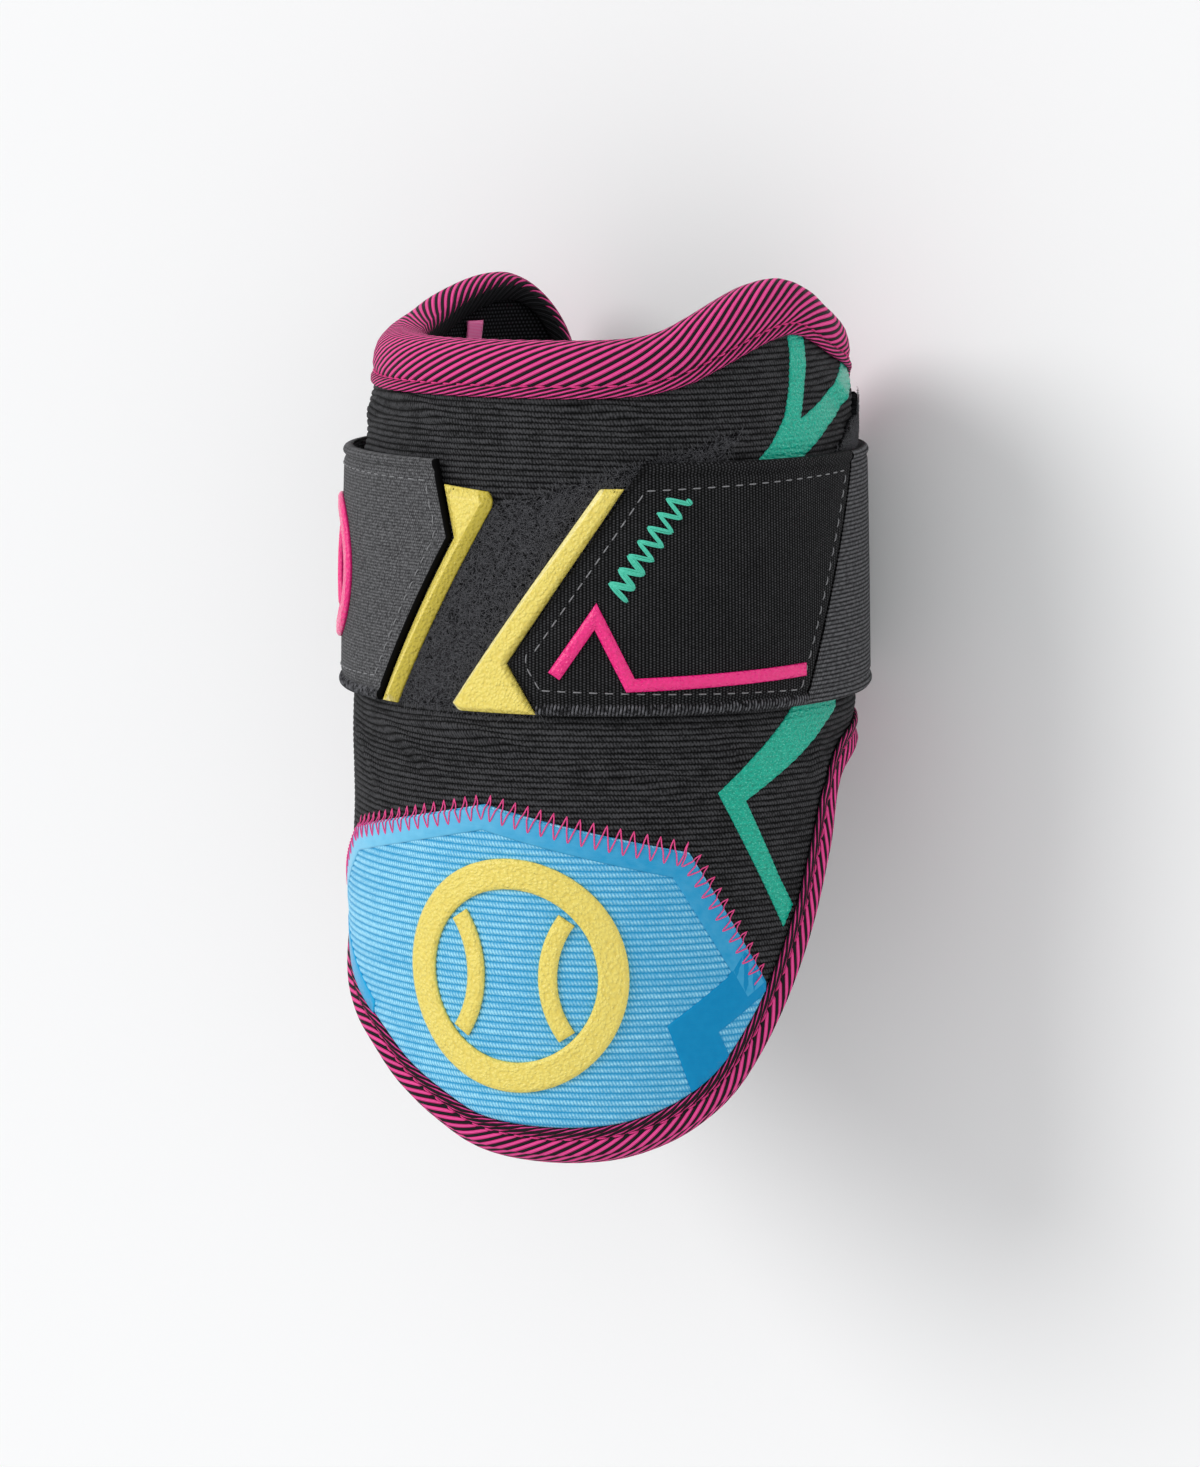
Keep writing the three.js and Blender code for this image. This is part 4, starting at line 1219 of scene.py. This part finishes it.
def make_fibres(name, outline, rng, paint):
    """Short curled fibres as narrow ribbons, joined into one piece."""
    low, high = outline.min(0), outline.max(0)
    roots = low + (high - low) * rng.random((FIBRES_TRIED, 2))
    roots = roots[inside(roots, outline)]
    arc, up = roots.T
    bare = (up > STRAP_TOP - 1) | ((arc < end_arc(RIGHT_END, up)) & (arc > end_arc(LEFT_END, up)))
    roots = roots[bare][:FIBRES_KEPT]
    way = rng.random(len(roots)) * 2 * math.pi
    curl = rng.normal(0, 1.1, len(roots))
    length = 1.1 + 1.3 * rng.random(len(roots))
    steps = np.linspace(0, 1, 4)
    turned = way[:, None] + curl[:, None] * steps
    ways = np.stack([np.cos(turned), np.sin(turned)], axis=-1)
    spots = roots[:, None] + np.cumsum(ways * (length / 3)[:, None, None], axis=1)
    lifts = GAP + LOOP_WALL - 0.1 + np.sin(steps * 2.4) * (0.3 + 0.3 * rng.random((len(roots), 1)))
    side = left_of(ways) * FIBRE_WIDTH / 2
    sides = [on_cloth(edge[..., 0], edge[..., 1], lifts) for edge in (spots + side, spots - side)]
    points = np.stack(sides, axis=2).reshape(-1, 3)
    base = np.arange(len(roots))[:, None] * 8
    quads = np.array([[k * 2, k * 2 + 1, k * 2 + 3, k * 2 + 2] for k in range(3)])
    faces = (base[:, None] + quads[None]).reshape(-1, 4)
    return add_mesh(name, points, faces.tolist(), paint)


# Strap

def strap_edges(up):
    """Rise of the strap's rolled upper edge and wound lower edge."""
    top, low = STRAP_TOP - up, up - STRAP_LOW
    welt = 0.35 * np.exp(-((top - 1.3) / 0.75) ** 2) - 0.3 * np.exp(-((top - 2.7) / 0.45) ** 2)
    coil = 0.3 * np.exp(-((low - 1.4) / 0.85) ** 2) - 0.35 * np.exp(-((low - 3.1) / 0.45) ** 2)
    return welt + coil


def strap_grid(first, last, count):
    """Rows and columns of arcs and heights between two slanted borders, closest near the edges."""
    edge = np.array([0, 0.08, 0.25, 0.5, 0.8, 1.2, 1.6, 2, 2.4, 2.7, 3.1, 3.5, 4])
    height = STRAP_TOP - STRAP_LOW
    ups = np.concatenate([edge, np.linspace(5, height - 5, 24), (height - edge)[::-1]])
    across = ups / height
    start, end = line_at(first, across), line_at(last, across)
    t = np.linspace(0, 1, count)[:, None]
    return arc_of(start + (end - start) * t), np.broadcast_to(STRAP_LOW + ups, (count, len(ups)))


def strap_round(up):
    """Share of the strap's thickness near its two long edges, which are round."""
    off = np.minimum(STRAP_TOP - up, up - STRAP_LOW)
    return np.sqrt(np.clip(1 - (1 - np.clip(off / 0.9, 0, 1)) ** 2, 0, 1))


def make_elastic():
    """The elastic runs from the right seam round the back to the left seam."""
    last = [(across, turn + 360) for across, turn in LEFT_SEAM]
    arc, up = strap_grid(RIGHT_SEAM, last, 150)
    share = strap_round(up)
    outer = on_strap(arc, up, STRAP_WALL * (0.5 + 0.5 * share) + strap_edges(up))
    inner = on_strap(arc, up, STRAP_WALL * (0.5 - 0.5 * share))
    lowest = on_strap(arc, up, STRAP_WALL)[..., 2].min()
    outer[..., 2] = np.maximum(outer[..., 2], lowest)
    cloth = np.stack([arc, up, np.full(arc.shape, 5.0)], axis=-1)
    rows = np.concatenate([outer, inner[:, ::-1]], axis=1)
    places = np.concatenate([cloth, cloth[:, ::-1]], axis=1).reshape(-1, 3)
    piece = strip("elastic_band", rows, elastic(), ["strap_elastic"], cloth=places)


def make_strap_ends():
    grey = thread_paint("grey_thread", "68686a", "9c9c9e", 0.7)
    edge = np.array([0, 0.1, 0.3, 0.6, 0.9, 1.3, 1.8, 2.3, 2.7, 3.1, 3.6, 4.2])
    middle = np.arange(STRAP_LOW + 5.2, STRAP_TOP - 5, 1.4)
    ys = np.unique(np.concatenate([STRAP_LOW + edge, middle, STRAP_TOP - edge]))

    def top(arc, up, depth):
        share = np.interp(depth, [0, 0.12, 0.35, 0.8], [0.5, 0.75, 0.93, 1])
        groove = -0.2 * np.exp(-((depth - 2.5) / 0.5) ** 2)
        return STRAP_WALL * share + np.minimum(strap_edges(up), 0.4) * share + groove

    for name, first, last, paint, side in (
        ("right", RIGHT_END, RIGHT_SEAM, woven_strap(), 1),
        ("left", LEFT_END, LEFT_SEAM, jersey(), -1),
    ):
        last = [(across, turn - side * turn_of(GAP)) for across, turn in last]
        free = border_spots(first)
        outline = turned_left(np.vstack([free, border_spots(last)[::-1]]))
        xs = np.arange(outline[:, 0].min(), outline[:, 0].max(), 1.4)
        flat = cut_flat(outline, xs, ys, insets=(0.12, 0.35, 0.8), step=0.7)
        piece = plate(f"strap_{name}", flat, on_strap, top, 0.0, paint,
                      [f"strap_end_{name}"], shaded=off_line(flat[0], free))
        make_end_stitches(name, first, last, side, grey)
    make_edge_coil()


def make_end_stitches(name, first, last, side, paint):
    """Running stitches inside the borders of a strap end. side is 1 where its seam is on the right."""
    height = STRAP_TOP - STRAP_LOW
    low, bend, high = COIL_MARGIN / height, first[1][0], 1 - WELT_MARGIN / height
    slope = border_spots([(a, line_at(first, a)) for a in (low, bend, high)])
    slope = offset_line(slope, side * FREE_MARGIN)
    seam = np.array([(arc_of(line_at(last, a)) - side * SEAM_MARGIN, strap_up(a)) for a in (low, high)])
    paths = []
    for line in (np.array([slope[0], seam[0]]), slope, np.array([slope[-1], seam[1]]), seam):
        line[:, 1] = np.clip(line[:, 1], strap_up(low), strap_up(high))
        paths += running_stitches(line, STRAP_WALL - 0.1)
    threads(f"strap_{name}_stitches", paths, STRAP_THREAD, paint)


def make_edge_coil():
    """Wound thread along the strap's lower edge, from end to end."""
    paint = edge_coil()
    t = np.linspace(0, 1, 6)
    lift = STRAP_WALL * (0.55 + 0.45 * np.sin(math.pi * (0.12 + 0.76 * t))) + 0.2
    for name, first, last in (("right", RIGHT_END, RIGHT_SEAM), ("left", LEFT_END, LEFT_SEAM)):
        start, end = sorted((arc_of(line_at(first, 0.03)), arc_of(line_at(last, 0.03))))
        arcs = np.arange(start + 0.6, end - 0.4, COIL_STEP)
        paths = [on_strap(arc + 0.45 * t, STRAP_LOW + 0.15 + 2.5 * t, lift) for arc in arcs]
        threads(f"overlock_{name}", paths, COIL_THREAD, paint, sides=5)


def make_bartack():
    """Thick zigzag of teal thread on the right strap end."""
    rng = np.random.default_rng(3)
    first = np.array([arc_of(TACK_START[0]), TACK_START[1]])
    tips = [first + np.array([3.9, -4.3])]
    for i in range(7):
        tips += [first + TACK_UP * i, first + TACK_UP * i + TACK_ACROSS]
    tips.append(tips[-1] + np.array([-0.9, 1.2]))
    t = np.linspace(0, 1, 8)[:, None]
    paths = []
    for i, (a, b) in enumerate(zip(tips[:-1], tips[1:])):
        side = left_of(b - a)
        side /= np.linalg.norm(side)
        for shift in (-0.5, -0.18, 0.16, 0.48) if i < 5 else (-0.3, 0, 0.3):
            spread = side * shift * (1 - 0.55 * np.abs(2 * t - 1) ** 3)
            spots = a + (b - a) * t + spread + rng.normal(0, 0.05, 2)
            lifts = STRAP_WALL - 0.1 + (0.5 + 0.25 * rng.random()) * np.sin(math.pi * t[:, 0]) ** 0.4
            paths.append(on_strap(*spots.T, lifts))
    paint = thread_paint("teal_thread", "2fb496", "6fe0c4")
    threads("teal_bartack", paths, TACK_THREAD, paint)


def make_label():
    """Satin ribbon on the lining, below the rim."""
    low, high = (np.array(corner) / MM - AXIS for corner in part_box("lining_label"))
    arc = arc_of(math.degrees(math.atan2((low[0] + high[0]) / 2, (low[2] + high[2]) / 2))) + LABEL_ASIDE
    left, right = arc - LABEL_WIDTH / 2, arc + LABEL_WIDTH / 2
    bottom, peak = low[1] - LABEL_DROP, high[1] - LABEL_DROP
    outline = np.array([(left, bottom), (right, bottom), (right, peak), (left, peak)])
    flat = cut_flat(outline, *grid_over(outline, 1, 1), step=0.7)
    face = -(SLEEVE_WALL + GAP + LINING_WALL + TAPE_GAP)

    def top(arcs, up, depth):
        return face + 0.15 * np.sin(up / 2.4)

    plate("label", flat, on_cloth, top, face - 0.5, satin(), ["lining_label"])


# Camera, lights and floor

def add_camera():
    view, tip = math.radians(VIEW_TURN), math.radians(VIEW_TIP)
    out, arm = Vector((math.sin(view), 0, math.cos(view))), Vector((0, 1, 0))
    right = Vector((math.cos(view), 0, -math.sin(view)))
    back = math.cos(tip) * out + math.sin(tip) * arm
    up = math.cos(tip) * arm - math.sin(tip) * out
    place = Vector(AXIS) + back * VIEW_DISTANCE + right * VIEW_ASIDE + up * VIEW_ABOVE
    camera = bpy.data.objects.new("camera", bpy.data.cameras.new("camera"))
    camera.data.lens = VIEW_LENS
    camera.data.sensor_width = 36
    turned = Matrix((right, up, back)).transposed().to_4x4()
    camera.matrix_world = Matrix.Translation(place * MM) @ turned
    bpy.context.scene.collection.objects.link(camera)
    bpy.context.scene.camera = camera


def add_sun(name, way, spread, power):
    """Sunlight out of a direction, spread over an angle in degrees."""
    data = bpy.data.lights.new(name, "SUN")
    data.energy, data.angle = power, math.radians(spread)
    light = bpy.data.objects.new(name, data)
    light.rotation_euler = Vector(way).to_track_quat("Z", "Y").to_euler()
    bpy.context.scene.collection.objects.link(light)


def add_floor():
    mesh = bpy.data.meshes.new("floor")
    corners = [(x * FLOOR_REACH, y * FLOOR_REACH, 0) for x, y in ((-1, -1), (1, -1), (1, 1), (-1, 1))]
    mesh.from_pydata(corners, [], [(0, 1, 2, 3)])
    paint = bpy.data.materials.new("floor_white")
    paint.use_nodes = True
    face = paint.node_tree.nodes["Principled BSDF"]
    face.inputs["Base Color"].default_value = (0.93, 0.93, 0.93, 1)
    face.inputs["Roughness"].default_value = 0.9
    mesh.materials.append(paint)
    floor = bpy.data.objects.new("floor", mesh)
    bpy.context.scene.collection.objects.link(floor)


def add_studio():
    world = bpy.data.worlds.new("studio")
    world.use_nodes = True
    world.node_tree.nodes["Background"].inputs[0].default_value = (0.95, 0.96, 0.97, 1)
    world.node_tree.nodes["Background"].inputs[1].default_value = 0.72
    bpy.context.scene.world = world
    add_sun("key", (-0.8, 0.6, 1.0), 30, 1.38)
    add_sun("fill", (0.9, -0.2, 0.8), 60, 0.2)
    bpy.context.scene.view_settings.view_transform = "Standard"


add_camera()
make_sleeve()
make_lining()
make_tape()
make_patch()
make_mouldings()
make_foils()
make_loops()
make_elastic()
make_strap_ends()
make_bartack()
make_label()
add_floor()
add_studio()
